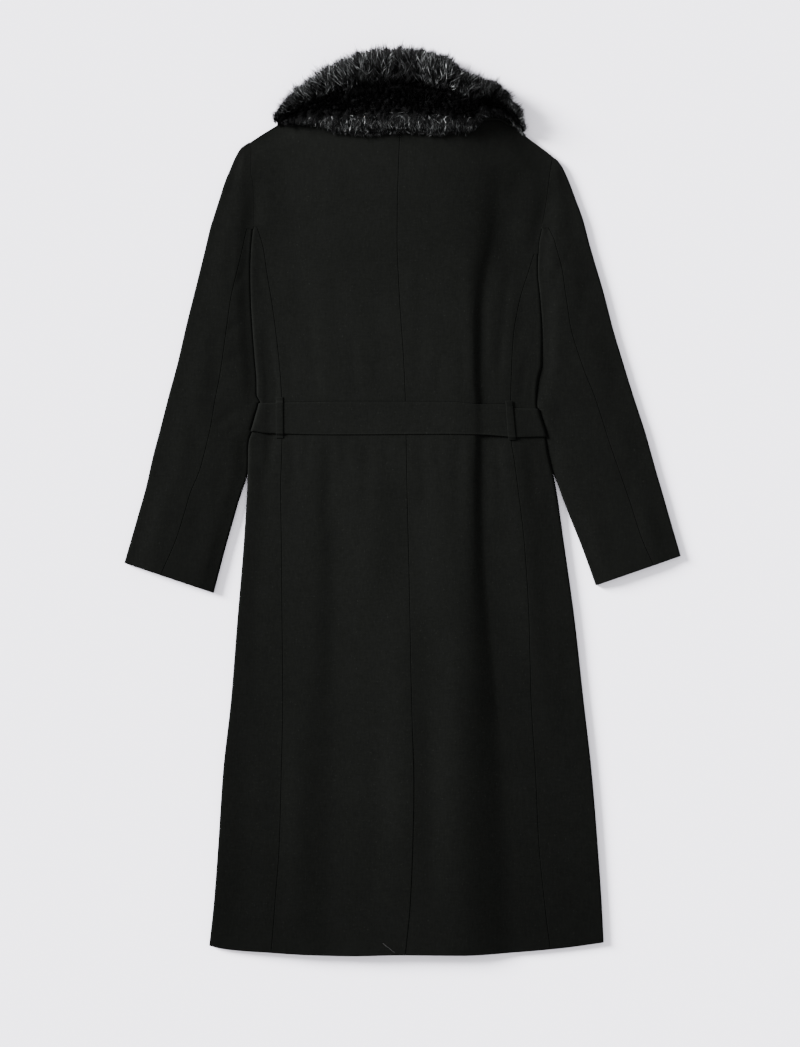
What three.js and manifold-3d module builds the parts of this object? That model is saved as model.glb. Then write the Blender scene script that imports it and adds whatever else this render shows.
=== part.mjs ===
// Long wool coat with a fur collar and a cloth belt, laid face down on a flat surface.
// Millimetres. Z is up from the surface, Y runs from the hem to the collar, X to the wearer's right.
// The back lies on top. The fronts lie on the surface, and the sleeves lie beside the body.
import * as THREE from "three";
import Module from "manifold-3d";

// A table's rows as objects, from its column names and the rows' values
function named(columns, rows) {
  return rows.map((row) => Object.fromEntries(columns.map((column, i) => [column, row[i]])));
}

// Cloth, seams and layers
const CLOTH = 3;
const SEAM_GAP = 0.3;
const LAYER_GAP = 0.4;
const FOLD_RADIUS = 3.7;
const SIDE_SEAM_INSET = 14;
const LOFT = 9.6;
const LOFT_SPREAD = 26;
const ARMHOLE_LOFT = 9.4;
const LAYERS_CLOSED = 2 * CLOTH + 0.8;
const SHOULDER_ROLL = 45;
const STEEPEST_SPREAD = 1.3;

// How the rows between the hem, the middle and the shoulders bend
const LEVEL_BLEND = 140;
const HEM_BLEND = 90;
const TOP_BLEND_FROM = 366;

// Front overlap: the right front reaches to the left of centre, the left front lies on it
const OVERLAP_HALF = 60;
const OVERLAP_STEP = CLOTH + SEAM_GAP;
const OVERLAP_RAMP = 14;
const OVERLAP_BACK_RAMP = 30;

// Where the columns of the panels stand, as shares of the way across, and in mm from the waist fold
const LEFT_BACK_SHARES = [0, 0.11, 0.22, 0.34, 0.475, 0.59, 0.7, 0.85, 1];
const RIGHT_INSIDE_SHARES = [0, 0.27, 0.55, 0.8];
const RIGHT_OUTSIDE_SHARES = [0.4, 1];
const FOLD_COLUMNS = [-11, -5.5, 0, 5.5, 11];
const SIDE_SHARES = [0, 0.25, 0.5, 0.75, 1];
const FRONT_SHARES = [0, 0.13, 0.27, 0.45, 0.7];
const OVERLAP_SHARES = [-1, -0.5, 0, 0.5, 1];
const UNDER_SLEEVE_SHARES = [0, 0.4, 0.7, 1];

// Belt
const BELT_LIFT = CLOTH + LAYER_GAP;
const BELT_LIFT_FROM = 60;
const BELT_LIFT_FULL_FROM = 84;
const BELT_LIFT_FULL_TO = 142;
const BELT_LIFT_TO = 170;
const BELT_FOLD_SHARE = 0.35;
const BELT_FRONT_GAP = 6;
const BELT_SECTION = 11;
const LOOP_THICKNESS = 2.4;
const LOOP_GAP = 0.5;

// Vent
const VENT_TOP = -335;
const VENT_WIDTH = 40;
const VENT_JOIN = 12;
const VENT_JOIN_DEPTH = 0.8;
const VENT_TIP_SHARE = 0.125;
const VENT_LIFT = 0.4;
const VENT_ROWS = [-632.5, -590, -561, -482, -377, -347, VENT_TOP];

// Collar
const COLLAR_LIFT = 9.3;
const COLLAR_LIFT_FROM = 385;
const COLLAR_LIFT_LENGTH = 60;
const COLLAR_LIFT_HALF = 100;
const COLLAR_LIFT_FADE = 95;
const COLLAR_GAP = 0.8;
const UNDER_COLLAR = 2.5;
const UNDER_COLLAR_HALF = 148;
const UNDER_COLLAR_COLUMNS = 28;
const FUR_EDGE_GAP = 2.2;
const FUR_ARM_GAP = 0.6;
const FUR_ROLL = 12;
const FUR_TUFT = 2.2;

// Sleeves
const SLEEVE_CROWN = 9.8;
const SLEEVE_SPREAD = 22;

// Sections of the body, from the hem to the shoulders: the y at the centre and at each half's outer edge,
// the princess seam and the outer edge. Above the side panels a half's edge is its armhole.
const SECTIONS = named(["middle", "leftY", "leftSeam", "leftEdge", "rightY", "rightSeam", "rightEdge"], [
  [-620, -622, -183.5, -270.5, -617.4, 207, 281.5],
  [-561, -561, -178, -264, -561, 199, 278.6],
  [-482, -482, -172, -258, -482, 191, 273.2],
  [-377, -377, -169, -251, -377, 186, 264.5],
  [-279, -279, -167, -240.1, -279, 180, 253.4],
  [-167, -167, -168, -231.2, -167, 177, 241],
  [-55, -55, -169, -221.9, -55, 170, 225.4],
  [20, 20, -170, -217.3, 20, 161, 214.4],
  [60, 60, -168.6, -216.2, 60, 155.6, 205.4],
  [72, 72, -168.3, -216, 72, 153.6, 202.6],
  [84, 84, -168, -214.6, 84, 152, 200.6],
  [100, 100, -168, -209, 100, 151.6, 197],
  [120, 120, -168, -203.3, 120, 151.3, 190.7],
  [137, 137, -168.2, -198.9, 137, 151, 186.9],
  [148, 148, -168.6, -203.8, 148, 151.3, 187.4],
  [170, 170, -170, -204.4, 170, 152, 190.4],
  [196, 200, -172.6, -206.9, 192, 152.8, 195.2],
  [236, 240, -177.2, -210, 232, 155.4, 195.5],
  [281, 281, -183, -212.4, 281, 164, 192.9],
  [323, 323, -190, -213.2, 323, 177, 189.3],
  [348, 351, -194, -212.3, 345, 184, 189.8],
  [366, 370, -199, -210.6, 358, null, 190.5],
  [384, 383, -203.8, -209.2, 375, null, 193.6],
  [396, 391, null, -208.4, 392, null, 197],
  [412, 416, null, -207.9, 419, null, 201.6],
  [428, 444, null, -209.4, 433, null, 203.4],
  [444, 460, null, -212.4, 447, null, 205.2],
  [462, 476, null, -211.9, 458, null, 206.6],
  [482, 491, null, -211.8, 469, null, 208.5],
  [496, 497, null, -211.9, 475, null, 209.6],
  [510, 502, null, -212, 480, null, 211.5],
]);

const LEFT = {
  side: -1,
  sideTop: 383,
  rows: SECTIONS.map((s) => ({ middle: s.middle, y: s.leftY, seam: s.leftSeam, edge: s.leftEdge })),
};
const RIGHT = {
  side: 1,
  sideTop: 345,
  rows: SECTIONS.map((s) => ({ middle: s.middle, y: s.rightY, seam: s.rightSeam, edge: s.rightEdge })),
};

// Centre back seam
const CENTRE = [
  { y: -634, x: 4 },
  { y: -561, x: 11 },
  { y: -480, x: 14.5 },
  { y: -399, x: 16 },
  { y: -318, x: 14 },
  { y: -237, x: 12 },
  { y: -155, x: 10.5 },
  { y: -74, x: 8.8 },
  { y: 7, x: 6.7 },
  { y: 141, x: 4.2 },
  { y: 209, x: 1.1 },
  { y: 266, x: -2.9 },
  { y: 309, x: -5.3 },
  { y: 360, x: -7.3 },
  { y: 410, x: -7 },
  { y: 461, x: -5.6 },
  { y: 545, x: -2 },
];

// Hem curve and the back's and the front's top edges: shoulders and necklines
const HEM = [
  { x: -270, y: -622 },
  { x: -254, y: -625.8 },
  { x: -230, y: -628.6 },
  { x: -183, y: -631.4 },
  { x: -134, y: -634.2 },
  { x: -73, y: -635.6 },
  { x: -3, y: -634.2 },
  { x: 88, y: -634.9 },
  { x: 156, y: -631.4 },
  { x: 191, y: -628.6 },
  { x: 219, y: -625.8 },
  { x: 243, y: -623 },
  { x: 262, y: -620.2 },
  { x: 281, y: -617.4 },
];
const BACK_TOP = [
  { x: -212, y: 502 },
  { x: -194, y: 513.8 },
  { x: -180, y: 522.2 },
  { x: -102, y: 568 },
  { x: -80, y: 555.5 },
  { x: -50, y: 548 },
  { x: 0, y: 545 },
  { x: 50, y: 547.5 },
  { x: 80, y: 553.5 },
  { x: 102, y: 564 },
  { x: 178, y: 505.4 },
  { x: 201, y: 488.6 },
  { x: 211.5, y: 480 },
];
const FRONT_TOP = [
  { x: -212, y: 502 },
  { x: -194, y: 513.8 },
  { x: -180, y: 522.2 },
  { x: -102, y: 568 },
  { x: -85, y: 540 },
  { x: -60, y: 520 },
  { x: 0, y: 508 },
  { x: 60, y: 518 },
  { x: 85, y: 537 },
  { x: 102, y: 564 },
  { x: 178, y: 505.4 },
  { x: 201, y: 488.6 },
  { x: 211.5, y: 480 },
];

// Soft folds of the back: the trough's line, its depth and its half width
const WAIST_FOLD = [
  { y: -622, x: 97, depth: 1, width: 20 },
  { y: -507, x: 101, depth: 1.2, width: 18 },
  { y: -399, x: 109, depth: 1.4, width: 16 },
  { y: -318, x: 117, depth: 1.6, width: 14 },
  { y: -210, x: 116, depth: 2, width: 12 },
  { y: -91, x: 114, depth: 2.4, width: 10 },
  { y: -36, x: 107, depth: 3, width: 7 },
  { y: 34, x: 111.7, depth: 3, width: 5.5 },
  { y: 136, x: 110.7, depth: 3, width: 5.5 },
  { y: 175, x: 109.6, depth: 3, width: 7 },
  { y: 276, x: 109.6, depth: 3, width: 9 },
  { y: 343, x: 113, depth: 2.8, width: 10 },
  { y: 393, x: 121.4, depth: 2.4, width: 11 },
  { y: 420, x: 133, depth: 1.6, width: 12 },
  { y: 455, x: 138, depth: 0, width: 14 },
];
const SIDE_FOLD = [
  { y: 30, x: -187, depth: 0, width: 6 },
  { y: 90, x: -186, depth: 1.5, width: 6 },
  { y: 141, x: -186, depth: 2, width: 6 },
  { y: 165, x: -185.5, depth: 2.2, width: 6 },
  { y: 209, x: -189, depth: 1.6, width: 6 },
  { y: 249, x: -192, depth: 0, width: 6 },
];
const SKIRT_FOLD = [
  { y: -629, x: -108, depth: 2.4, width: 30 },
  { y: -450, x: -108, depth: 2.2, width: 28 },
  { y: -279, x: -108, depth: 1.5, width: 26 },
  { y: -190, x: -108, depth: 0, width: 24 },
];

// Belt edges, from the left fold to the right fold
const BELT = [
  { x: -215, low: 99, high: 136 },
  { x: -190, low: 94.4, high: 136.8 },
  { x: -88, low: 93.2, high: 137.5 },
  { x: 65, low: 94, high: 137.2 },
  { x: 110, low: 93.2, high: 133.8 },
  { x: 143, low: 90.8, high: 134.5 },
  { x: 156, low: 89.2, high: 129.2 },
  { x: 205, low: 89.2, high: 128.8 },
];
const BELT_ROWS = [0, 0.35, 0.7, 1];

// Belt loops: where each end starts and ends across, at its two y
const LOOPS = named(["name", "high", "low", "highFrom", "highTo", "lowFrom", "lowTo"], [
  ["belt_loop_left", 145, 87.6, -177, -166.6, -176.8, -166.2],
  ["belt_loop_right", 140, 85, 143.6, 153.6, 147.4, 158.6],
]);

// Sleeve sections, from the shoulder tip to the cuff: outer fold, inner edge, elbow seam across and the
// front seam's distance from the inner fold underneath. A row without an elbow seam ends at the armhole.
const SLEEVE_LEFT = named(["outerX", "outerY", "innerX", "innerY", "seam", "front"], [
  [-219, 498.8, -212.2, 497, null, null],
  [-225.5, 493.5, -212.1, 491, null, null],
  [-234.5, 479.5, -212.2, 476, null, null],
  [-241.5, 463, -212.7, 460, null, null],
  [-247.5, 449, -209.7, 444, null, null],
  [-257, 420, -208.2, 416, null, null],
  [-265, 395, -208.7, 391, null, null],
  [-268.5, 384, -211.6, 380, -217.4, 5.5],
  [-275, 357, -214.6, 349, -224, 9],
  [-288, 304, -215.6, 293, -237, 14],
  [-302, 248, -213.4, 234, -246, 18],
  [-315, 192, -209.4, 175, -254, 20],
  [-328, 144, -208, 137, -262, 21],
  [-339.5, 99, -217.6, 90, -270, 22],
  [-349, 63, -219.6, 38, -281, 22],
  [-358.5, 21, -232, -11, -298, 22],
  [-372, -27, -247, -64, -313, 22],
  [-389.2, -86.8, -264, -128.8, -338, 22],
]);
const SLEEVE_RIGHT = named(["outerX", "outerY", "innerX", "innerY", "seam", "front"], [
  [217.5, 475.6, 209.9, 475, null, null],
  [221.5, 469.5, 208.8, 469, null, null],
  [232, 449, 205.5, 447, null, null],
  [242.5, 421, 201.9, 419, null, null],
  [252.5, 394, 197.3, 392, null, null],
  [255, 385, 197.4, 381, 204, 5.5],
  [260, 365, 195, 360, 213, 8],
  [268, 337, 192.4, 330, 221, 12],
  [281, 293, 196.2, 281, 228.5, 16],
  [295, 239, 199.4, 225, 238, 19],
  [310, 189, 199, 175, 254, 20],
  [323, 147, 194.8, 134, 270, 21],
  [339, 98, 207.6, 90, 285, 22],
  [354.5, 43, 217.6, 24, 305, 22],
  [365, 7, 232, -17, 318, 22],
  [377, -35, 251, -65, 332, 22],
  [389.2, -77, 270.2, -118.3, 351, 22],
]);

// Fur collar, from the left end to the right end: outline, fringe over the back and height
const FUR = named(["x", "top", "fringe", "high"], [
  [-183, 530, 517, 12],
  [-172, 549, 522, 20],
  [-155, 566, 521, 27],
  [-141, 581, 521, 31],
  [-128, 591, 520, 33],
  [-115, 599, 518, 35],
  [-102, 608, 513, 36.5],
  [-88, 616, 510, 38],
  [-66, 624, 508.5, 39.5],
  [-52, 630, 508, 40],
  [-31, 633, 509, 40.6],
  [-4, 634.4, 511, 41],
  [24, 631.5, 510, 40.6],
  [43, 626, 508, 40],
  [62, 622, 509, 39.4],
  [74, 610, 509.5, 38.5],
  [82, 601, 510, 37.5],
  [94, 597, 511, 36.5],
  [106, 594, 518, 35],
  [112, 592, 528, 34],
  [122, 588, 530.5, 32],
  [135, 581, 531, 30],
  [148, 565, 527, 26.5],
  [158, 555, 517, 23],
  [164, 543, 511, 19],
  [169, 527, 507, 15],
  [176, 514, 503.6, 11],
]);
const FUR_SPACING = 9;

// Share of the way from the fringe to the outline, and share of the fall's height there
const FUR_PROFILE = [
  { along: 0, rise: 0.06 },
  { along: 0.05, rise: 0.42 },
  { along: 0.14, rise: 0.72 },
  { along: 0.3, rise: 0.95 },
  { along: 0.5, rise: 1 },
  { along: 0.7, rise: 0.93 },
];
const FUR_ROLL_PROFILE = [
  { along: 0.86, share: 0.74 },
  { along: 0.96, share: 0.5 },
  { along: 1, share: 0.3 },
];

// How far the collar's front arms reach down under the fronts, by the distance from the centre
const FUR_ARM = [
  { x: 0, y: 600 },
  { x: 14, y: 560 },
  { x: 32, y: 505 },
  { x: 56, y: 466 },
  { x: 80, y: 452 },
  { x: 105, y: 458 },
  { x: 130, y: 486 },
  { x: 148, y: 522 },
];

// Lower edge of the under collar
const UNDER_COLLAR_EDGE = [
  { x: -148, y: 527 },
  { x: -118, y: 524 },
  { x: -94, y: 517 },
  { x: -50, y: 515 },
  { x: 50, y: 515 },
  { x: 94, y: 518 },
  { x: 104, y: 526 },
  { x: 112, y: 530 },
  { x: 135, y: 531 },
  { x: 148, y: 524 },
];

const clothMaterial = () => new THREE.MeshStandardMaterial({ color: 0x1b1d1c, roughness: 0.95 });
const furMaterial = () => new THREE.MeshStandardMaterial({ color: 0x111112, roughness: 0.7 });

const mix = (a, b, t) => a + (b - a) * t;

function smooth(t) {
  const c = Math.min(1, Math.max(0, t));
  return c * c * (3 - 2 * c);
}

// A table's value at a place, straight between its rows and held past its ends
function lookup(table, key, by, at) {
  const last = table.length - 1;
  if (at <= table[0][by]) return table[0][key];
  for (let i = 1; i <= last; i += 1) {
    if (at <= table[i][by]) {
      const t = (at - table[i - 1][by]) / (table[i][by] - table[i - 1][by]);
      return mix(table[i - 1][key], table[i][key], t);
    }
  }
  return table[last][key];
}

const centreAt = (y) => lookup(CENTRE, "x", "y", y);
const edgeAt = (half, y) => lookup(half.rows, "edge", "y", y);
const seamOf = (row) => (row.seam === null ? row.edge : row.seam);
const levelY = (row, x) => mix(row.middle, row.y, smooth((Math.abs(x) - OVERLAP_HALF) / LEVEL_BLEND));

// The y of a point of a row: the row bends to the hem curve below and to the top edge above
function rowY(half, x, row, topEdge) {
  const first = half.rows[0];
  const last = half.rows[half.rows.length - 1];
  const hemShare = 1 - smooth((row.middle - first.middle) / HEM_BLEND);
  const topShare = smooth((row.middle - TOP_BLEND_FROM) / (last.middle - TOP_BLEND_FROM));
  const hem = lookup(HEM, "y", "x", x) - levelY(first, x);
  const top = lookup(topEdge, "y", "x", x) - levelY(last, x);
  return levelY(row, x) + hem * hemShare + top * topShare;
}

// Height of the coat's lowest face: it is lifted by the belt and by the collar's front arms
function baseHeight(x, y) {
  const rise = smooth((y - BELT_LIFT_FROM) / (BELT_LIFT_FULL_FROM - BELT_LIFT_FROM));
  const fall = smooth((y - BELT_LIFT_FULL_TO) / (BELT_LIFT_TO - BELT_LIFT_FULL_TO));
  const collarY = smooth((y - COLLAR_LIFT_FROM) / COLLAR_LIFT_LENGTH);
  const collarX = 1 - smooth((Math.abs(x) - COLLAR_LIFT_HALF) / COLLAR_LIFT_FADE);
  return BELT_LIFT * rise * (1 - fall) + COLLAR_LIFT * collarY * collarX;
}

// Extra height of the left front where it lies on the right front
function leftFrontStep(x) {
  return OVERLAP_STEP * smooth((x + OVERLAP_HALF + OVERLAP_RAMP + 4) / OVERLAP_RAMP);
}

// Extra height of the back over the two overlapping fronts
function overlapLift(x) {
  const rise = smooth((x + OVERLAP_HALF + OVERLAP_BACK_RAMP + 8) / OVERLAP_BACK_RAMP);
  const fall = smooth((x - OVERLAP_HALF - 2) / OVERLAP_BACK_RAMP);
  return OVERLAP_STEP * rise * (1 - fall);
}

function foldDepth(fold, x, y) {
  const off = (x - lookup(fold, "x", "y", y)) / lookup(fold, "width", "y", y);
  return lookup(fold, "depth", "y", y) * Math.exp(-off * off);
}

function ventLift(x, y) {
  const centre = centreAt(y);
  const down = smooth((VENT_TOP + 20 - y) / 30);
  const rise = smooth((x - centre + VENT_WIDTH + 20) / 16);
  const fall = smooth((x - centre - 14) / 18);
  return VENT_LIFT * down * rise * (1 - fall);
}

// Height of the body's edge: a full fold below the armpit, the armhole seam above it
function edgeLoft(half, y) {
  return mix(2 * FOLD_RADIUS, ARMHOLE_LOFT, smooth((y - half.sideTop + 15) / 45));
}

// Height of the back's outer face
function backHeight(half, x, y, foldShare = 1) {
  const fromEdge = Math.abs(edgeAt(half, y) - x) - FOLD_RADIUS;
  const folds = foldDepth(WAIST_FOLD, x, y) + foldDepth(SIDE_FOLD, x, y) + foldDepth(SKIRT_FOLD, x, y);
  const lift = overlapLift(x);
  const closed = LAYERS_CLOSED + lift;
  const open = mix(edgeLoft(half, y), LOFT, smooth(fromEdge / LOFT_SPREAD)) + lift - folds * foldShare;
  const fromTop = lookup(BACK_TOP, "y", "x", x) - y;
  return baseHeight(x, y) + ventLift(x, y) + mix(closed, Math.max(open, closed), smooth(fromTop / SHOULDER_ROLL));
}

// How far down the inner face lies below an outer point of the back
function spread(half, x, y) {
  const step = 1;
  const slope = (backHeight(half, x + step, y) - backHeight(half, x - step, y)) / (2 * step);
  const room = backHeight(half, x, y) - baseHeight(x, y) - overlapLift(x) - LAYERS_CLOSED + CLOTH;
  return Math.min(CLOTH * Math.min(STEEPEST_SPREAD, Math.hypot(1, slope)), Math.max(CLOTH, room));
}

// A closed solid between two grids of points with the same rows and columns
function wall(outer, inner) {
  const rows = outer.length;
  const columns = outer[0].length;
  const positions = [...outer.flat(), ...inner.flat()].flatMap((p) => [p.x, p.y, p.z]);
  const triangles = [];
  const front = (i, j) => i * columns + j;
  const back = (i, j) => rows * columns + i * columns + j;
  const quad = (a, b, c, d) => triangles.push(a, b, c, a, c, d);
  for (let i = 0; i + 1 < rows; i += 1) {
    for (let j = 0; j + 1 < columns; j += 1) {
      quad(front(i, j), front(i, j + 1), front(i + 1, j + 1), front(i + 1, j));
      quad(back(i, j), back(i + 1, j), back(i + 1, j + 1), back(i, j + 1));
    }
    quad(front(i, 0), front(i + 1, 0), back(i + 1, 0), back(i, 0));
    quad(front(i + 1, columns - 1), front(i, columns - 1), back(i, columns - 1), back(i + 1, columns - 1));
  }
  for (let j = 0; j + 1 < columns; j += 1) {
    quad(front(0, j + 1), front(0, j), back(0, j), back(0, j + 1));
    quad(front(rows - 1, j), front(rows - 1, j + 1), back(rows - 1, j + 1), back(rows - 1, j));
  }
  return facingOut(positions, triangles);
}

// The triangles of a flat ring, each in the ring's own direction
function capTriangles(ring) {
  const flat = ring.map((p) => new THREE.Vector2(p.y, p.z));
  const direction = Math.sign(THREE.ShapeUtils.area(flat));
  return THREE.ShapeUtils.triangulateShape(flat, []).map(([a, b, c]) => {
    const turned = Math.sign(THREE.ShapeUtils.area([flat[a], flat[b], flat[c]])) !== direction;
    return turned ? [a, c, b] : [a, b, c];
  });
}

// A closed solid through rings of points, with flat ends
function loft(rings) {
  const count = rings[0].length;
  const positions = rings.flat().flatMap((p) => [p.x, p.y, p.z]);
  const triangles = [];
  for (let i = 0; i + 1 < rings.length; i += 1) {
    for (let j = 0; j < count; j += 1) {
      const k = (j + 1) % count;
      const a = i * count + j;
      const b = i * count + k;
      triangles.push(a, b, b + count, a, b + count, a + count);
    }
  }
  const last = (rings.length - 1) * count;
  for (const [a, b, c] of capTriangles(rings[0])) triangles.push(a, c, b);
  for (const [a, b, c] of capTriangles(rings[rings.length - 1])) triangles.push(last + a, last + b, last + c);
  return facingOut(positions, triangles);
}

// The geometry of the triangles, turned round if they face inwards
function facingOut(positions, triangles) {
  const point = (i) => new THREE.Vector3().fromArray(positions, 3 * i);
  let volume = 0;
  for (let i = 0; i < triangles.length; i += 3) {
    const [a, b, c] = [point(triangles[i]), point(triangles[i + 1]), point(triangles[i + 2])];
    volume += a.dot(b.cross(c));
  }
  if (volume < 0) {
    for (let i = 0; i < triangles.length; i += 3) {
      [triangles[i + 1], triangles[i + 2]] = [triangles[i + 2], triangles[i + 1]];
    }
  }
  const geometry = new THREE.BufferGeometry();
  geometry.setAttribute("position", new THREE.Float32BufferAttribute(positions, 3));
  geometry.setIndex(triangles);
  return geometry;
}

const manifoldModule = await Module();
manifoldModule.setup();

function toManifold(geometry) {
  const mesh = new manifoldModule.Mesh({
    numProp: 3,
    vertProperties: new Float32Array(geometry.attributes.position.array),
    triVerts: new Uint32Array(geometry.index.array),
  });
  return new manifoldModule.Manifold(mesh);
}

function joined(first, second) {
  const mesh = toManifold(first).add(toManifold(second)).getMesh();
  return facingOut(Array.from(mesh.vertProperties), Array.from(mesh.triVerts));
}

// Where the columns of each half's back panel stand on a row, from the centre seam to its outer edge
function leftColumns(row, centreY) {
  const from = centreAt(centreY) - SEAM_GAP / 2;
  const to = seamOf(row) + SEAM_GAP / 2;
  return LEFT_BACK_SHARES.map((t) => mix(from, to, t));
}

function rightColumns(row, centreY) {
  const from = centreAt(centreY) + SEAM_GAP / 2;
  const to = seamOf(row) - SEAM_GAP / 2;
  const fold = lookup(WAIST_FOLD, "x", "y", centreY);
  const beside = FOLD_COLUMNS.map((d) => fold + d);
  const inside = RIGHT_INSIDE_SHARES.map((t) => mix(from, beside[0], t));
  const outside = RIGHT_OUTSIDE_SHARES.map((t) => mix(beside[beside.length - 1], to, t));
  return [...inside, ...beside, ...outside];
}

const backColumns = (half, row, centreY) => (half === LEFT ? leftColumns : rightColumns)(row, centreY);

function backPanel(half) {
  const outer = [];
  const inner = [];
  for (const row of half.rows) {
    const centreY = rowY(half, 0, row, BACK_TOP);
    const points = backColumns(half, row, centreY).map((x) => {
      const y = rowY(half, x, row, BACK_TOP);
      return new THREE.Vector3(x, y, backHeight(half, x, y));
    });
    outer.push(points);
    inner.push(points.map((p) => new THREE.Vector3(p.x, p.y, p.z - spread(half, p.x, p.y))));
  }
  return wall(outer, inner);
}

// The vent's underlay: a strip under the left half that joins the right half's edge
function ventUnderlay() {
  const offsets = [-VENT_WIDTH, -VENT_WIDTH / 2, LAYER_GAP, VENT_JOIN / 2, VENT_JOIN];
  const outer = VENT_ROWS.map((y, i) => offsets.map((offset) => {
    const across = i === VENT_ROWS.length - 1 && offset < 0 ? offset * VENT_TIP_SHARE : offset;
    const x = centreAt(y) + across;
    const depth = offset > LAYER_GAP ? CLOTH - VENT_JOIN_DEPTH : CLOTH + LAYER_GAP;
    return new THREE.Vector3(x, y, backHeight(RIGHT, x, y) - depth);
  }));
  const inner = outer.map((row) => row.map((p) => new THREE.Vector3(p.x, p.y, p.z - CLOTH)));
  return wall(outer, inner);
}

// Half a turn of a fold, from its top to its underside, as shares of the radius out and up
const TURN = [1, 2, 3].map((i) => (i * Math.PI) / 4).map((a) => ({ out: Math.sin(a), up: Math.cos(a) }));

function sideTopColumns(half, row) {
  const from = row.seam + half.side * SEAM_GAP / 2;
  const to = row.edge - half.side * FOLD_RADIUS;
  return SIDE_SHARES.map((t) => mix(from, to, t));
}

function sidePanel(half) {
  const rows = half.rows.filter((row) => row.y <= half.sideTop);
  const outer = [];
  const inner = [];
  const small = FOLD_RADIUS - CLOTH;
  for (const row of rows) {
    const at = (x, z) => new THREE.Vector3(x, rowY(half, x, row, BACK_TOP), z);
    const axis = row.edge - half.side * FOLD_RADIUS;
    const base = baseHeight(axis, row.y);
    const middle = base + FOLD_RADIUS;
    const tops = sideTopColumns(half, row).map((x) => {
      const y = rowY(half, x, row, BACK_TOP);
      return { x, z: backHeight(half, x, y), depth: spread(half, x, y) };
    });
    const lasts = [0, SIDE_SEAM_INSET - FOLD_RADIUS - SEAM_GAP / 2].map((inset) => axis - half.side * inset);
    outer.push([
      ...tops.map((p) => at(p.x, p.z)),
      ...TURN.map((a) => at(axis + half.side * FOLD_RADIUS * a.out, middle + FOLD_RADIUS * a.up)),
      ...lasts.map((x) => at(x, base)),
    ]);
    inner.push([
      ...tops.map((p) => at(p.x, p.z - p.depth)),
      ...TURN.map((a) => at(axis + half.side * small * a.out, middle + small * a.up)),
      ...lasts.map((x) => at(x, base + CLOTH)),
    ]);
  }
  return wall(outer, inner);
}

// A front's columns: shared places across the overlap, shares of the way out to the side beyond it
function frontColumns(half, from) {
  const beyond = half === LEFT ? [-OVERLAP_HALF - OVERLAP_RAMP - 4, -OVERLAP_HALF - 11, -OVERLAP_HALF - 4] : [78];
  const out = FRONT_SHARES.map((t) => mix(from, beyond[0], t));
  const across = OVERLAP_SHARES.map((t) => -half.side * t * OVERLAP_HALF);
  return [...out, ...beyond, ...across];
}

function frontPanel(half, step) {
  const outer = [];
  const inner = [];
  const rows = half.rows.flatMap((row) => {
    const above = { ...row, middle: row.middle + SEAM_GAP, y: row.y + SEAM_GAP };
    return row.y === half.sideTop ? [row, above] : [row];
  });
  for (const row of rows) {
    const inset = row.y <= half.sideTop + SEAM_GAP ? SIDE_SEAM_INSET + SEAM_GAP / 2 : 0;
    const points = frontColumns(half, row.edge - half.side * inset).map((x) => {
      const y = rowY(half, x, row, FRONT_TOP);
      return new THREE.Vector3(x, y, baseHeight(x, y) + step(x));
    });
    outer.push(points);
    inner.push(points.map((p) => new THREE.Vector3(p.x, p.y, p.z + CLOTH)));
  }
  return wall(outer, inner);
}

// Height of a sleeve's outer face at a distance from its outer fold
function sleeveHeight(half, row, width, along) {
  const rise = smooth((along - FOLD_RADIUS) / SLEEVE_SPREAD);
  const crown = mix(2 * FOLD_RADIUS, SLEEVE_CROWN, rise);
  if (row.seam === null) {
    const armhole = backHeight(half, row.innerX, row.innerY);
    return mix(armhole, crown, smooth((width - along) / Math.min(20, 0.6 * width)));
  }
  const fall = smooth((width - FOLD_RADIUS - along) / SLEEVE_SPREAD);
  return mix(2 * FOLD_RADIUS, SLEEVE_CROWN, rise * fall);
}

// The frame of a sleeve row: places across it by the distance from the outer fold
function sleeveFrame(row) {
  const width = Math.hypot(row.innerX - row.outerX, row.innerY - row.outerY);
  const at = (along, z) => {
    const t = along / width;
    return new THREE.Vector3(mix(row.outerX, row.innerX, t), mix(row.outerY, row.innerY, t), z);
  };
  const seam = row.seam === null ? width : (width * (row.seam - row.outerX)) / (row.innerX - row.outerX);
  return { width, at, seam };
}

// One side of a sleeve: over the top from the elbow seam, round a fold and underneath to the front seam
function sleeveSide(half, row, sign, topFrom, axisAlong, underTo, topShares, underShares) {
  const { width, at } = sleeveFrame(row);
  const small = FOLD_RADIUS - CLOTH;
  const tops = topShares.map((t) => mix(topFrom, axisAlong, t));
  const unders = underShares.map((t) => mix(axisAlong, underTo, t));
  const height = (along) => sleeveHeight(half, row, width, along);
  return {
    outer: [
      ...tops.map((u) => at(u, height(u))),
      ...TURN.map((a) => at(axisAlong + sign * FOLD_RADIUS * a.out, FOLD_RADIUS * (1 + a.up))),
      ...unders.map((u) => at(u, 0)),
    ],
    inner: [
      ...tops.map((u) => at(u, height(u) - CLOTH)),
      ...TURN.map((a) => at(axisAlong + sign * small * a.out, FOLD_RADIUS + small * a.up)),
      ...unders.map((u) => at(u, CLOTH)),
    ],
  };
}

function topSleeve(half, table) {
  const sides = table.map((row) => {
    const { width, seam } = sleeveFrame(row);
    const underTo = row.seam === null ? width : width - row.front - SEAM_GAP / 2;
    const topFrom = row.seam === null ? width : seam - SEAM_GAP / 2;
    return sleeveSide(half, row, -1, topFrom, FOLD_RADIUS, underTo, SIDE_SHARES, [0, 0.5, 1]);
  });
  return wall(sides.map((s) => s.outer), sides.map((s) => s.inner));
}

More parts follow.
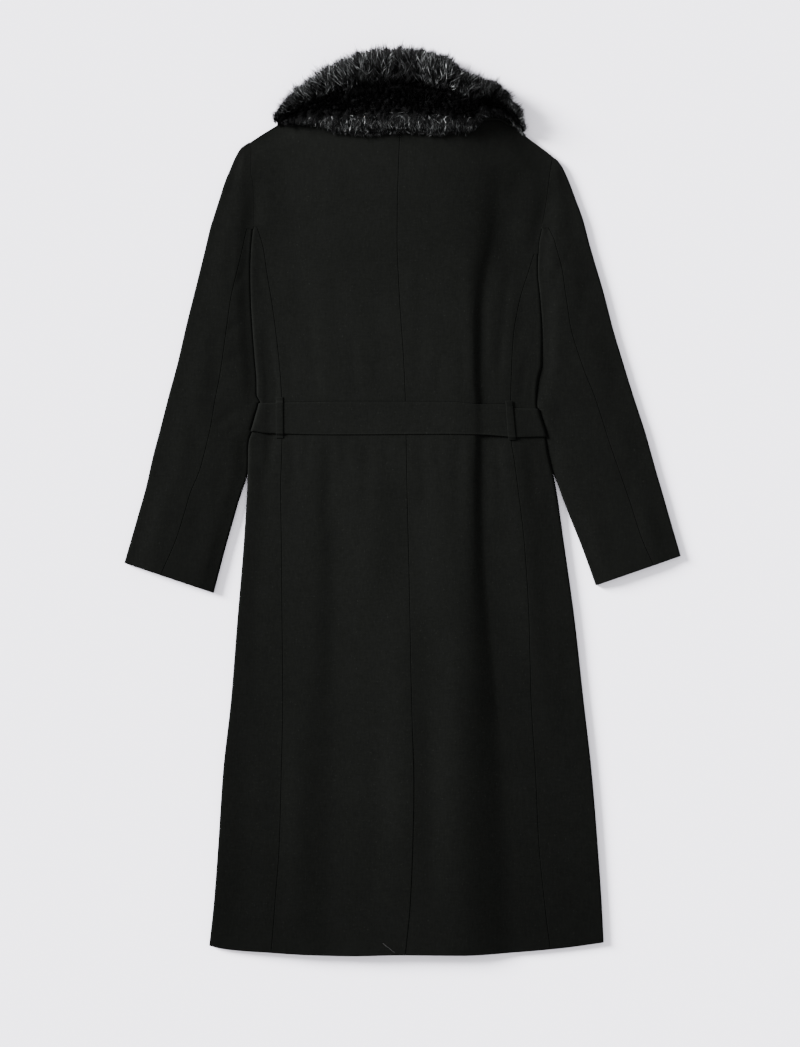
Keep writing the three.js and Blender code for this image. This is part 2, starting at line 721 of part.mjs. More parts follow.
function underSleeve(half, table) {
  const sides = table.filter((row) => row.seam !== null).map((row) => {
    const { width, seam } = sleeveFrame(row);
    const underTo = width - row.front + SEAM_GAP / 2;
    const topFrom = seam + SEAM_GAP / 2;
    return sleeveSide(half, row, 1, topFrom, width - FOLD_RADIUS, underTo, UNDER_SLEEVE_SHARES, [0, 1]);
  });
  return wall(sides.map((s) => s.outer), sides.map((s) => s.inner));
}

// One row of the belt, from the left end underneath round both folds to the right end underneath
function beltRow(share, thickness) {
  const beltY = (x) => mix(lookup(BELT, "low", "x", x), lookup(BELT, "high", "x", x), share);
  const foldSide = (half) => {
    const y = beltY(half.rows[BELT_SECTION].edge);
    const axis = edgeAt(half, y) - half.side * FOLD_RADIUS;
    const radius = FOLD_RADIUS + LAYER_GAP + thickness;
    const middle = baseHeight(axis, y) + FOLD_RADIUS;
    const under = middle - radius;
    const end = half.side * BELT_FRONT_GAP / 2;
    return [
      new THREE.Vector3(end, beltY(axis), under),
      new THREE.Vector3(axis / 2, beltY(axis), under),
      new THREE.Vector3(axis, beltY(axis), under),
      ...TURN.toReversed().map((a) => {
        const x = axis + half.side * radius * a.out;
        return new THREE.Vector3(x, beltY(axis), middle + radius * a.up);
      }),
    ];
  };
  const topSide = (half) => {
    const middle = mix(BELT[2].low, BELT[2].high, share);
    const seam = lookup(half.rows, "seam", "y", middle);
    const row = { seam, edge: edgeAt(half, beltY(edgeAt(half, middle))) };
    const xs = [...backColumns(half, row, middle), ...sideTopColumns(half, row).slice(1)];
    return xs.map((x) => {
      const y = beltY(x);
      const z = backHeight(half, x, y, BELT_FOLD_SHARE) + LAYER_GAP + thickness;
      return new THREE.Vector3(x, y, z);
    });
  };
  const leftPoints = [...foldSide(LEFT), ...topSide(LEFT).toReversed()];
  const rightPoints = [...topSide(RIGHT), ...foldSide(RIGHT).toReversed()];
  return [...leftPoints, ...rightPoints];
}

function belt() {
  return wall(
    BELT_ROWS.map((share) => beltRow(share, CLOTH)),
    BELT_ROWS.map((share) => beltRow(share, 0)),
  );
}

// A loop lies on the back above and below the belt and on the belt between
function beltLoop(loop) {
  const half = loop.highFrom < 0 ? LEFT : RIGHT;
  const rows = [];
  const beltLow = Math.min(...[loop.lowFrom, loop.lowTo].map((x) => lookup(BELT, "low", "x", x)));
  const beltHigh = Math.max(...[loop.highFrom, loop.highTo].map((x) => lookup(BELT, "high", "x", x)));
  const over = CLOTH + LAYER_GAP;
  const stations = [
    { y: loop.low, lift: 0 },
    { y: beltLow - 1.6, lift: 0 },
    { y: beltLow - 0.8, lift: over },
    { y: (beltLow + beltHigh) / 2, lift: over },
    { y: beltHigh + 0.9, lift: over },
    { y: beltHigh + 1.8, lift: 0 },
    { y: loop.high, lift: 0 },
  ];
  for (const station of stations) {
    const t = (station.y - loop.low) / (loop.high - loop.low);
    const from = mix(loop.lowFrom, loop.highFrom, t);
    const to = mix(loop.lowTo, loop.highTo, t);
    const share = station.lift > 0 ? BELT_FOLD_SHARE : 1;
    const peak = Math.max(...[from, (from + to) / 2, to].map((x) => backHeight(half, x, station.y, share)));
    rows.push([from, to].map((x) => new THREE.Vector3(x, station.y, peak + LOOP_GAP + station.lift)));
  }
  const outer = rows.map((row) => row.map((p) => new THREE.Vector3(p.x, p.y, p.z + LOOP_THICKNESS)));
  return wall(outer, rows);
}

// The heights of built panels at a place, from their own triangles
function builtHeights(geometries, x, y) {
  const heights = [];
  for (const geometry of geometries) {
    const at = geometry.attributes.position.array;
    const index = geometry.index.array;
    for (let i = 0; i < index.length; i += 3) {
      const [a, b, c] = [3 * index[i], 3 * index[i + 1], 3 * index[i + 2]];
      const area = (at[b] - at[a]) * (at[c + 1] - at[a + 1]) - (at[c] - at[a]) * (at[b + 1] - at[a + 1]);
      if (Math.abs(area) < 1e-6) continue;
      const u = ((x - at[a]) * (at[c + 1] - at[a + 1]) - (at[c] - at[a]) * (y - at[a + 1])) / area;
      const v = ((at[b] - at[a]) * (y - at[a + 1]) - (x - at[a]) * (at[b + 1] - at[a + 1])) / area;
      if (u < 0 || v < 0 || u + v > 1) continue;
      heights.push(at[a + 2] + u * (at[b + 2] - at[a + 2]) + v * (at[c + 2] - at[a + 2]));
    }
  }
  return heights;
}

const halfOf = (x) => (x < 0 ? LEFT : RIGHT);
const shoulderAt = (x) => lookup(BACK_TOP, "y", "x", x);

// Height of the back's built outer face
function backTop(x, y) {
  const built = builtHeights(BACKS, x, y);
  return Math.max(backHeight(halfOf(x), x, y), ...built);
}

// Height of the fronts' built lowest face
function frontBottom(x, y) {
  const built = builtHeights(FRONTS, x, y);
  return Math.min(baseHeight(x, y), ...built);
}

function underCollar() {
  const xs = [];
  for (let i = 0; i <= UNDER_COLLAR_COLUMNS; i += 1) {
    xs.push(mix(-UNDER_COLLAR_HALF, UNDER_COLLAR_HALF, i / UNDER_COLLAR_COLUMNS));
  }
  const inner = [0, 0.33, 0.66, 1].map((share) => xs.map((x) => {
    const y = mix(lookup(UNDER_COLLAR_EDGE, "y", "x", x), shoulderAt(x) - 2, share);
    return new THREE.Vector3(x, y, backTop(x, y) + COLLAR_GAP);
  }));
  const outer = inner.map((row) => row.map((p) => new THREE.Vector3(p.x, p.y, p.z + UNDER_COLLAR)));
  return wall(outer, inner);
}

// Height of the fur fall's underside
function furUnderside(x, y) {
  const collar = 1 - smooth((Math.abs(x) - UNDER_COLLAR_HALF) / 10);
  return backTop(x, y) + COLLAR_GAP + (UNDER_COLLAR + COLLAR_GAP) * collar;
}

// One ring of the fur collar: fringe, fall, roll, surface, front arm and the fall's underside
function furRing(x, tuft) {
  const edge = shoulderAt(x) + FUR_EDGE_GAP;
  const narrow = Math.min(1, (lookup(FUR, "top", "x", x) - edge) / 30);
  const top = lookup(FUR, "top", "x", x) + tuft * narrow;
  const fringe = Math.min(lookup(FUR, "fringe", "x", x) - tuft * narrow, edge - 3);
  const high = lookup(FUR, "high", "x", x);
  const under = furUnderside(x, fringe);
  const roll = Math.min(FUR_ROLL, (top - edge) / 2);
  const reach = Math.abs(x) > UNDER_COLLAR_HALF ? edge + 1 : lookup(FUR_ARM, "y", "x", Math.abs(x));
  const arm = Math.min(reach, top - roll - 1);
  const armHeight = (y) => Math.max(frontBottom(x, y) - FUR_ARM_GAP, arm > edge - 1 ? 2 : 0);
  const rollHeight = high * FUR_ROLL_PROFILE[2].share;
  const along = (t) => mix(fringe, top, t);
  const armInside = mix(arm, edge, 0.08);
  return [
    ...FUR_PROFILE.map((p) => [along(p.along), mix(under, high, p.rise)]),
    ...FUR_ROLL_PROFILE.map((p) => [along(p.along), high * p.share]),
    [top - roll / 4, rollHeight / 3],
    [top - roll, 0],
    [mix(top - roll, arm, 0.5), 0],
    [arm, 0],
    [arm, 0.6 * armHeight(arm)],
    [armInside, armHeight(armInside)],
    [mix(arm, edge, 0.5), armHeight(mix(arm, edge, 0.5))],
    [edge, armHeight(edge)],
    [edge, furUnderside(x, edge)],
    [mix(edge, fringe, 0.33), furUnderside(x, mix(edge, fringe, 0.33))],
    [mix(edge, fringe, 0.66), furUnderside(x, mix(edge, fringe, 0.66))],
    [fringe, under],
  ].map(([y, z]) => new THREE.Vector3(x, y, z));
}

function furCollar() {
  const first = FUR[0].x;
  const last = FUR[FUR.length - 1].x;
  const count = Math.round((last - first) / FUR_SPACING);
  const rings = [];
  for (let i = 0; i <= count; i += 1) {
    rings.push(furRing(mix(first, last, i / count), FUR_TUFT * (i % 2 ? 0.5 : -0.5)));
  }
  return loft(rings);
}

const coat = new THREE.Group();
coat.name = "long_coat";

function add(name, geometry, material) {
  const mesh = new THREE.Mesh(geometry, material);
  mesh.name = name;
  coat.add(mesh);
}

const BACKS = [backPanel(LEFT), joined(backPanel(RIGHT), ventUnderlay())];
const FRONTS = [frontPanel(LEFT, leftFrontStep), frontPanel(RIGHT, () => 0)];

add("back_left", BACKS[0], clothMaterial());
add("back_right", BACKS[1], clothMaterial());
add("side_back_left", sidePanel(LEFT), clothMaterial());
add("side_back_right", sidePanel(RIGHT), clothMaterial());
add("front_left", FRONTS[0], clothMaterial());
add("front_right", FRONTS[1], clothMaterial());
add("sleeve_left_top", topSleeve(LEFT, SLEEVE_LEFT), clothMaterial());
add("sleeve_left_under", underSleeve(LEFT, SLEEVE_LEFT), clothMaterial());
add("sleeve_right_top", topSleeve(RIGHT, SLEEVE_RIGHT), clothMaterial());
add("sleeve_right_under", underSleeve(RIGHT, SLEEVE_RIGHT), clothMaterial());
add("belt", belt(), clothMaterial());
for (const loop of LOOPS) add(loop.name, beltLoop(loop), clothMaterial());
add("under_collar", underCollar(), clothMaterial());
add("fur_collar", furCollar(), furMaterial());

export default coat;
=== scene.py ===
"""Long wool coat with a fur collar and a cloth belt, laid face down: cloth shells and fur over the frame.

The tables are in millimetres in the part's frame: Z is up from the surface, Y runs from the hem to the
collar and X to the wearer's right. Meshes are made in metres.
"""
import math

import bpy
import numpy as np
from bpy.props import FloatProperty, FloatVectorProperty, IntProperty, PointerProperty
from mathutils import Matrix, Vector


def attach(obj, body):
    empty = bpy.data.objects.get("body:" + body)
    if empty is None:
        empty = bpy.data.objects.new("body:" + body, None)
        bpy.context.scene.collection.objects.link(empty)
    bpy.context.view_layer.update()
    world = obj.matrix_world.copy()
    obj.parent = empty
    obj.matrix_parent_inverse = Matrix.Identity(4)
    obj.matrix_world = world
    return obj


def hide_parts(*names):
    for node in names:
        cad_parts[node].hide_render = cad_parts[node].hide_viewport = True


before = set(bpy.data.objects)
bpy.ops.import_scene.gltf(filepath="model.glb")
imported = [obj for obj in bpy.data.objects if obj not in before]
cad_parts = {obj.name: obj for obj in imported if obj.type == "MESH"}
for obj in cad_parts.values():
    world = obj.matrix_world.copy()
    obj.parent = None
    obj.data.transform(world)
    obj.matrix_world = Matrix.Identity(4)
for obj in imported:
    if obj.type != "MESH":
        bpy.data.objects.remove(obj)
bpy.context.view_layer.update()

bl_info = {
    "name": "Long coat laid face down",
    "version": (1, 0, 0),
    "blender": (4, 5, 0),
    "location": "View3D > Sidebar > Coat",
    "description": "Cloth panels, belt, collar and fur of a long wool coat",
    "category": "Add Mesh",
}

MM = 0.001

# Seams and pressed folds. A fold's power, which is below 1, makes it fuller than a circle.
SEAM_GAP = 0.1
FOLD_RADIUS = 3.7
FOLD_POWER = 0.68
FOLD_POINTS = 11
SIDE_SEAM_INSET = 14.0

# Rows of the body: the way from the centre to the edge's own level, the height over which a row takes the
# hem's shape, and the row from which it takes that of the top edge
LEVEL_BLEND = 140.0
HEM_BLEND = 90.0
TOP_BLEND_FROM = 366.0

# Back: the width over which each half rises from its edge to the full loft, the height along the armhole and
# where it begins beside the side panel's top, the height of the closed layers at the shoulders, the length of
# the roll down to them, and the softness of the bend where the open cloth meets them
LOFT_SPREAD = {-1: 118.0, 1: 62.0}
ARMHOLE_LOFT = 9.4
ARMHOLE_LOFT_FROM = (-15.0, 30.0)
LAYERS_CLOSED = 6.8
SHOULDER_ROLL = 45.0
FLOOR_BEND = 0.16
FLOOR_SINK = 0.02

# Trough beside the armhole: its depth and width, where it begins beside the side panel's top, and its end
TROUGH = 2.7
TROUGH_WIDTH = 12.0
TROUGH_FROM = (-6.0, 18.0)
TROUGH_TO = (402.0, 462.0)

# Creases: how far a crease goes on past its ends, the shares of its length over which it rises and runs out,
# and where it begins from the edge of the back
CREASE_PAST = 0.06
CREASE_RISE = 0.3
CREASE_RUN_OUT = 0.42
CREASE_FROM_EDGE = (-2.0, 8.0)

# Overlap of the two fronts: half its width, the step up on it, the step's length and distance from the lower
# front's edge, and the span over which the back is lifted
OVERLAP_HALF = 60.0
OVERLAP_STEP = 3.3
OVERLAP_RAMP = 14.0
OVERLAP_CLEAR = 4.0
OVERLAP_BACK = (-195.0, -66.0, 66.0, 160.0)

# Lifts by the belt's front and by the collar's front arms: their heights, the fade of the collar's towards
# the sides, and the spans of both along y, for the lowest face and for the outer face
BELT_LIFT = 2.6
COLLAR_LIFT = 6.6
COLLAR_LIFT_FADE = (15.0, 208.0)
LOWEST_FACE = ((60.0, 84.0, 142.0, 170.0), (385.0, 445.0))
OUTER_FACE = ((-70.0, 84.0, 142.0, 332.0), (280.0, 470.0))

# Belt: width, cloth, gap to the back, gap between its ends, round of its edges, the y at which its sides are
# measured, the width over which its height changes beside them, the share of the long folds' depth that it
# follows, the span of the cloth's close rows round it and their step as a share of the usual one, the points
# round a side, and its own steps across, below the fronts and over the back, with the usual widths there
BELT_WIDTH = 42.0
BELT_CLOTH = 2.4
BELT_GAP = 0.2
BELT_FRONT_GAP = 6.0
BELT_EDGE_ROUND = 2.2
BELT_SIDE_Y = 115.0
BELT_SIDE_BLEND = 16.0
BELT_FOLD_SHARE = 0.35
BELT_ROWS = (82.0, 147.0)
BELT_ROW_STEP = 0.21
BELT_SIDE_POINTS = 13
BELT_STEP = 4.0
BELT_UNDER_WIDTH = 190.0
BELT_UNDER_STEP = 8.0
BELT_OVER_WIDTH = 380.0
BELT_OVER_STEP = 3.6

# Cloth under the belt: how much it is drawn in and how far that reaches, the depth of the belt's trench, the
# width of its walls and their distances inside the belt's lower and upper edge, and the distances from the
# belt's middle over which creases begin
CINCH = 1.0
CINCH_WIDTH = 34.0
TRENCH = 1.8
TRENCH_WALL = 2.6
TRENCH_INSETS = (1.4, 1.0)
UNDER_BELT = (12.0, 21.0)

# Belt loops: cloth, round of the edge, grid step, length of the rise beside the belt, height and crown
LOOP_CLOTH = 1.0
LOOP_EDGE_ROUND = 0.9
LOOP_STEP = 1.2
LOOP_RISE = 2.4
LOOP_HEIGHT = 1.05
LOOP_CROWN = 0.25

# Vent: its span, the underlay's width, its share at the tip and the tip's length, the width that joins it to
# the right half, its depths below the cloth, and how the left edge is lifted and the right half sinks, with
# the spans from the vent's top and from the centre seam over which they do so
VENT_TOP = -335.0
VENT_FOOT = -632.5
VENT_WIDTH = 40.0
VENT_TIP_SHARE = 0.12
VENT_TIP_LENGTH = 14.0
VENT_JOIN = 12.0
VENT_DEPTHS = (3.6, 2.4)
VENT_DEPTH_RAMP = 5.0
VENT_EASE = (-10.0, 20.0)
VENT_LIFT = 0.1
VENT_LIFT_SPAN = (-26.0, -2.0)
VENT_SINK = 0.25
VENT_SINK_SPAN = (0.0, 15.0)

# Under collar: its gap to the back, thickness, half width, depth, distance from the neck's edge, and steps
# along and across. Then the height, distance from the lower edge and half width of its bead, and the depth,
# distance and half width of the stitched line
COLLAR_GAP = 0.8
UNDER_COLLAR = 2.5
UNDER_COLLAR_HALF = 148.0
UNDER_COLLAR_DEPTH = 30.0
UNDER_COLLAR_INSET = 2.0
UNDER_COLLAR_STEPS = (3.2, 1.6)
COLLAR_BEAD = (0.9, 2.2, 1.5)
COLLAR_STITCHES = (0.6, 4.8, 0.8)

# Sleeves: height of the crown, widths of its rise from the outer fold and of its fall to the inner one, the
# fall's width at the sleeve's head, the head's lift, where the crown becomes full along it and where the head
# changes near the armpit. Then the rise on the belt's end with its y and width, where the sleeve lies beside
# the body, the distances outside and inside the belt's edges over which it makes room for the belt, how far
# it is pressed to the body and sewn over it, and the gap between the rows at the armpit. Then where creases
# begin from the outer and from the inner fold, the usual widths of the two sleeve pieces above and below, and
# their steps underneath and along the under sleeve, as shares of the usual one, with its rows by the belt
SLEEVE_CROWN = 9.9
SLEEVE_SPREAD = 38.0
SLEEVE_FALL = 20.0
HEAD_FALL = 16.0
HEAD_LIFT = 0.2
HEAD_RISE = (20.0, 150.0)
NEAR_ARMPIT = (-75.0, 0.0)
SLEEVE_ON_BELT = 2.8
SLEEVE_ON_BELT_AT = (113.0, 30.0)
SLEEVE_BESIDE = (14.0, 48.0)
ROOM_OUTSIDE = 0.9
ROOM_INSIDE = 0.4
SLEEVE_PRESSED = 0.5
SLEEVE_SEWN = 0.6
ARMPIT_GAP = 0.08
CREASE_FROM_OUTER = (1.0, 13.0)
CREASE_FROM_INNER = (1.0, 9.0)
TOP_WIDTHS = (66.0, 100.0)
UNDER_WIDTHS = (52.0, 16.0)
UNDERNEATH_STEP = 1.6
UNDER_ROW_STEP = 0.5
UNDER_ROWS_BY_BELT = 80

# Usual widths of the panels, which give the number of their grid lines, the widths on the right before and
# after the long fold's columns, and the steps of the fronts
BACK_WIDTH = 176.0
BEFORE_FOLD_WIDTH = 90.0
AFTER_FOLD_WIDTH = 50.0
SIDE_WIDTH = 70.0
SIDE_UNDER_WIDTH = 10.0
FRONT_WIDTH = 270.0
FRONT_ROW_STEP = 9.0
FRONT_STEP = 7.0

# Long fold's close columns: where they begin and end beside its line, and their step. Then the least distance
# of a row from those at the side panel's top
LONG_FOLD_NEAR = (-14.0, 10.0)
LONG_FOLD_STEP = 1.8
ROW_CLEARANCE = 0.8

# Distances of the grid lines from a free edge, where they stand close together, and the round of an edge
EDGE_STEPS = np.array([0.0, 0.16, 0.45, 0.85, 1.4, 2.3, 4.0])
EDGE_ROUND = 0.5

# Body rows from the hem to the shoulders: the y at the centre, then for each half the y at its edge, the
# princess seam and the outer edge. Above the side panels there is no princess seam, and the edge is the
# armhole.
NONE = math.nan
SECTIONS = np.array([
    [-620, -622, -183.5, -270.5, -617.4, 207, 281.5], [-561, -561, -178, -264, -561, 199, 278.6],
    [-482, -482, -172, -258, -482, 191, 273.2], [-377, -377, -169, -251, -377, 186, 264.5],
    [-279, -279, -167, -240.1, -279, 180, 253.4], [-167, -167, -168, -231.2, -167, 177, 241],
    [-55, -55, -169, -221.9, -55, 170, 225.4], [20, 20, -170, -217.3, 20, 161, 214.4],
    [60, 60, -168.6, -216.2, 60, 155.6, 205.4], [72, 72, -168.3, -216, 72, 153.6, 202.6],
    [84, 84, -168, -214.6, 84, 152, 200.6], [100, 100, -168, -209, 100, 151.6, 197],
    [120, 120, -168, -203.3, 120, 151.3, 190.7], [137, 137, -168.2, -198.9, 137, 151, 186.9],
    [148, 148, -168.6, -203.8, 148, 151.3, 187.4], [170, 170, -170, -204.4, 170, 152, 190.4],
    [196, 200, -172.6, -206.9, 192, 152.8, 195.2], [236, 240, -177.2, -210, 232, 155.4, 195.5],
    [281, 281, -183, -212.4, 281, 164, 192.9], [323, 323, -190, -213.2, 323, 177, 189.3],
    [348, 351, -194, -212.3, 345, 184, 189.8], [366, 370, -199, -210.6, 358, NONE, 190.5],
    [384, 383, -203.8, -209.2, 375, NONE, 193.6], [396, 391, NONE, -208.4, 392, NONE, 197],
    [412, 416, NONE, -207.9, 419, NONE, 201.6], [428, 444, NONE, -209.4, 433, NONE, 203.4],
    [444, 460, NONE, -212.4, 447, NONE, 205.2], [462, 476, NONE, -211.9, 458, NONE, 206.6],
    [482, 491, NONE, -211.8, 469, NONE, 208.5], [496, 497, NONE, -211.9, 475, NONE, 209.6],
    [510, 502, NONE, -212, 480, NONE, 211.5],
])

# Centre back seam (y, x), the hem and the top edges (x, y)
CENTRE = [
    (-634, 4), (-561, 11), (-480, 14.5), (-399, 16), (-318, 14), (-237, 12), (-155, 10.5), (-74, 8.8),
    (7, 6.7), (141, 4.2), (209, 1.1), (266, -2.9), (309, -5.3), (360, -7.3), (410, -7), (461, -5.6), (545, -2),
]
HEM = [
    (-270, -622), (-254, -625.8), (-230, -628.6), (-183, -631.4), (-134, -634.2), (-73, -635.6), (-3, -634.2),
    (88, -634.9), (156, -631.4), (191, -628.6), (219, -625.8), (243, -623), (262, -620.2), (281, -617.4),
]
SHOULDER_LEFT = [(-212, 502), (-194, 513.8), (-180, 522.2), (-102, 568)]
SHOULDER_RIGHT = [(102, 564), (178, 505.4), (201, 488.6), (211.5, 480)]
BACK_NECK = [(-80, 555.5), (-50, 548), (0, 545), (50, 547.5), (80, 553.5)]
FRONT_NECK = [(-85, 540), (-60, 520), (0, 508), (60, 518), (85, 537)]

# Soft folds that the part has too (y, x, depth, half width to the left and to the right)
WAIST_FOLD = [
    (-622, 188, 7.6, 64, 90), (-587, 187, 8, 63, 90), (-503, 182, 8.6, 60, 90), (-419, 168, 8.2, 50, 90),
    (-335, 152, 7.5, 38, 84), (-251, 138, 6.8, 27, 76), (-167, 125, 5.9, 18.5, 66), (-83, 116, 5.2, 13, 56),
    (-27, 113, 4.8, 10.5, 48), (29, 111.5, 4.5, 8.5, 42), (71, 111, 4.3, 7, 34), (136, 111, 4.4, 6.5, 34),
    (169, 110, 4.4, 7.5, 44), (211, 110.5, 4.4, 8.5, 52), (253, 111.5, 4.4, 9.5, 54), (309, 118, 4.4, 13, 50),
    (365, 131, 4.2, 17, 42), (421, 138, 3, 21, 36), (478, 142, 0, 22, 30),
]
SIDE_FOLD = [
    (30, -187, 0, 6, 6), (90, -186, 2, 5, 8), (141, -186, 2.8, 5, 8), (165, -185.5, 2.8, 5, 8),
    (209, -189, 2, 6, 8), (249, -192, 0, 6, 8),
]
SKIRT_FOLD = [
    (-629, -100, 1.6, 26, 44), (-450, -98, 2, 24, 42), (-300, -96, 2.4, 21, 38), (-150, -95, 2.5, 18, 34),
    (-20, -96, 2.1, 15, 30), (60, -98, 1.2, 13, 26), (92, -98, 0, 12, 24),
]

# Creases: from (x, y) to (x, y), depth (a ridge is negative), half width, bow to the side
CREASES = [
    # upper back, right of the long fold, where soft dark bands lie
    (150, 330, 133, 142, 1.3, 6, 2), (146, 412, 150, 318, 1.5, 19, 3), (170, 300, 158, 205, 0.9, 8, -2),
    (94, 350, 96, 150, -1.0, 9, 1), (124, 300, 122, 175, -0.8, 6, 0), (88, 240, 84, 142, 0.8, 7, -1),
    # beside the centre seam and over the left shoulder blade
    (13, 330, 11, 250, -0.9, 8, 1), (28, 262, 24, 150, 0.8, 9, 2), (52, 205, 50, 141, 0.7, 6, 0),
    (-38, 300, -30, 148, 0.9, 13, -3), (-70, 232, -62, 141, 0.9, 7, 2), (-98, 330, -88, 152, 1.0, 15, -4),
    (-128, 280, -118, 143, 1.1, 9, 3), (-150, 360, -143, 210, 0.9, 12, -3), (-160, 214, -152, 141, 0.8, 6, 1),
    (-55, 470, -96, 372, 0.8, 18, 6), (62, 462, 96, 392, 0.8, 17, -6), (-172, 470, -140, 408, 1.0, 13, 5),
    (168, 462, 150, 420, 0.9, 11, -3), (-20, 440, -22, 352, -0.7, 16, 0), (-112, 190, -108, 141, -0.6, 5, 0),
    # from the armholes
    (-204, 372, -176, 300, 0.8, 8, 4), (190, 352, 172, 296, 0.8, 7, -4), (-203, 330, -190, 276, 0.8, 6, 2),
    # below the belt
    (-152, 92, -150, 6, 1.2, 8, 2), (-131, 92, -136, 44, 0.8, 5, 0), (-104, 92, -112, -62, 1.3, 10, -3),
    (-77, 92, -78, 30, 0.8, 6, 1), (-46, 93, -50, -40, 1.1, 9, 2), (-22, 93, -21, 48, 0.7, 5, 0),
    (26, 93, 30, -22, 1.0, 8, -2), (49, 94, 54, 40, 0.7, 5, 1), (78, 93, 80, -70, 1.0, 9, 3),
    (133, 91, 136, 12, 0.9, 7, 1), (90, 86, 92, 10, -0.9, 6, 0), (128, 70, 126, -60, -0.8, 8, 0),
    # long soft folds of the skirt
    (4, -120, 6, -560, -3.8, 29, 3), (78, 60, 84, -612, -1.8, 24, 4), (86, -170, 96, -640, -3.0, 42, 3),
    (36, -270, 38, -590, 1.7, 14, -2), (176, -190, 190, -560, 1.6, 17, 3), (-36, -300, -44, -626, 1.6, 20, -4),
    (-140, -240, -146, -612, -1.6, 18, 4), (-168, -360, -172, -622, 1.5, 16, 2),
    (-40, 70, -46, -160, -1.6, 22, -4), (10, 40, 30, -200, 0.9, 17, 3), (52, 40, 50, -220, -1.0, 15, 2),
    # side panels
    (-196, -20, -205, -300, 1.2, 13, 4), (-222, -330, -228, -610, 1.3, 15, -4),
    (190, -40, 206, -300, 1.1, 13, -4), (214, -320, 226, -604, 1.3, 16, 4), (240, -440, 252, -612, 0.9, 12, 2),
    (-198, -420, -204, -615, 0.9, 12, 3),
    (-194, 60, -190, -30, 1.0, 8, 2), (176, 80, 184, -20, 1.0, 8, -2), (-232, -150, -236, -300, 0.8, 9, 2),
    (166, 141, 170, 200, 0.9, 6, 1), (181, 139, 182, 176, 0.7, 4, 0), (-176, 141, -179, 180, 0.8, 4, 0),
    # left sleeve
    (-267, 290, -264, 118, 1.4, 11, -4), (-236, 384, -250, 296, 1.1, 10, -3),
    (-221, 322, -238, 286, 1.0, 6, 2), (-226, 250, -252, 226, 0.9, 6, 2),
    (-222, 205, -262, 196, 0.8, 7, -3), (-290, 236, -262, 208, 0.9, 8, 3),
    (-300, 180, -284, 60, 1.1, 13, 4), (-318, 96, -340, -40, 1.2, 14, -4), (-244, 60, -262, -60, 1.0, 11, 3),
    (-232, 128, -262, 100, 1.0, 7, 2), (-228, 104, -246, 92, 0.8, 5, 0), (-322, 30, -352, -72, -0.9, 11, 3),
    (-228, 470, -242, 412, 0.9, 9, 3), (-282, 20, -300, -84, 0.9, 12, -4), (-240, 172, -270, 150, 0.7, 6, 1),
    # right sleeve
    (211, 328, 208, 264, 1.5, 8, -2), (207, 392, 211, 380, 0.8, 3, 0), (202, 380, 210, 360, 0.9, 3.5, 1),
    (234, 350, 228, 334, 0.8, 4, 1), (224, 338, 219, 322, 0.7, 4, 0), (262, 316, 246, 214, 1.2, 11, 4),
    (238, 430, 230, 356, 1.0, 10, -3), (218, 214, 246, 190, 0.9, 7, 2), (212, 182, 244, 164, 0.8, 6, -2),
    (292, 190, 286, 70, 1.1, 13, -4), (208, 128, 240, 108, 1.0, 7, 2), (316, 70, 338, -42, 1.2, 14, 4),
    (238, 46, 262, -58, 1.0, 11, -3), (330, 0, 352, -70, -0.9, 11, -2), (278, 20, 296, -88, 0.9, 12, 3),
    (274, 256, 252, 236, 0.8, 7, -2), (222, 84, 250, 72, 0.7, 5, 0),
]

# Belt edges (x, low y, high y) and loops (high y, low y, then the sides at the high and at the low end)
BELT = np.array([
    (-215, 99, 136), (-190, 94.4, 136.8), (-88, 93.2, 137.5), (65, 94, 137.2), (110, 93.2, 133.8),
    (143, 90.8, 134.5), (156, 89.2, 129.2), (205, 89.2, 128.8),
])
LOOPS = {
    "belt_loop_left": (145, 87.6, -177, -166.6, -176.8, -166.2),
    "belt_loop_right": (140, 85, 143.6, 153.6, 147.4, 158.6),
}

# Sleeve sections from the shoulder tip to the cuff: the outer fold's x and y, the inner edge's x and y, the
# elbow seam's x and the front seam's distance from the inner fold underneath
SLEEVE_LEFT = np.array([
    [-218.5, 499, -212.1, 501.8, NONE, 0], [-225.5, 494, -212.1, 495.5, NONE, 0],
    [-234.5, 479.5, -212.2, 476, NONE, 0], [-241.5, 463, -212.7, 460, NONE, 0],
    [-247.5, 449, -209.7, 444, NONE, 0], [-257, 420, -208.2, 416, NONE, 0], [-265, 395, -208.7, 391, NONE, 0],
    [-268.5, 384, -211.6, 380, -217.4, 5.5], [-275, 357, -214.6, 349, -224, 9],
    [-288, 304, -215.6, 293, -237, 14], [-302, 248, -213.4, 234, -246, 18],
    [-315, 192, -209.4, 175, -254, 20], [-328, 144, -208, 137, -262, 21],
    [-339.5, 99, -217.6, 90, -270, 22], [-349, 63, -219.6, 38, -281, 22],
    [-358.5, 21, -232, -11, -298, 22], [-372, -27, -247, -64, -313, 22],
    [-389.2, -86.8, -264, -128.8, -338, 22],
])
SLEEVE_RIGHT = np.array([
    [217, 476, 211.4, 479.8, NONE, 0], [222, 469.5, 209.6, 472.5, NONE, 0],
    [232, 449, 205.5, 447, NONE, 0], [242.5, 421, 201.9, 419, NONE, 0], [252.5, 394, 197.3, 392, NONE, 0],
    [255, 385, 197.4, 381, 204, 5.5], [260, 365, 195, 360, 213, 8], [268, 337, 192.4, 330, 221, 12],
    [281, 293, 196.2, 281, 228.5, 16], [295, 239, 199.4, 225, 238, 19], [310, 189, 199, 175, 254, 20],
    [323, 147, 194.8, 134, 270, 21], [339, 98, 207.6, 90, 285, 22], [354.5, 43, 217.6, 24, 305, 22],
    [365, 7, 232, -17, 318, 22], [377, -35, 251, -65, 332, 22], [389.2, -77, 270.2, -118.3, 351, 22],
])

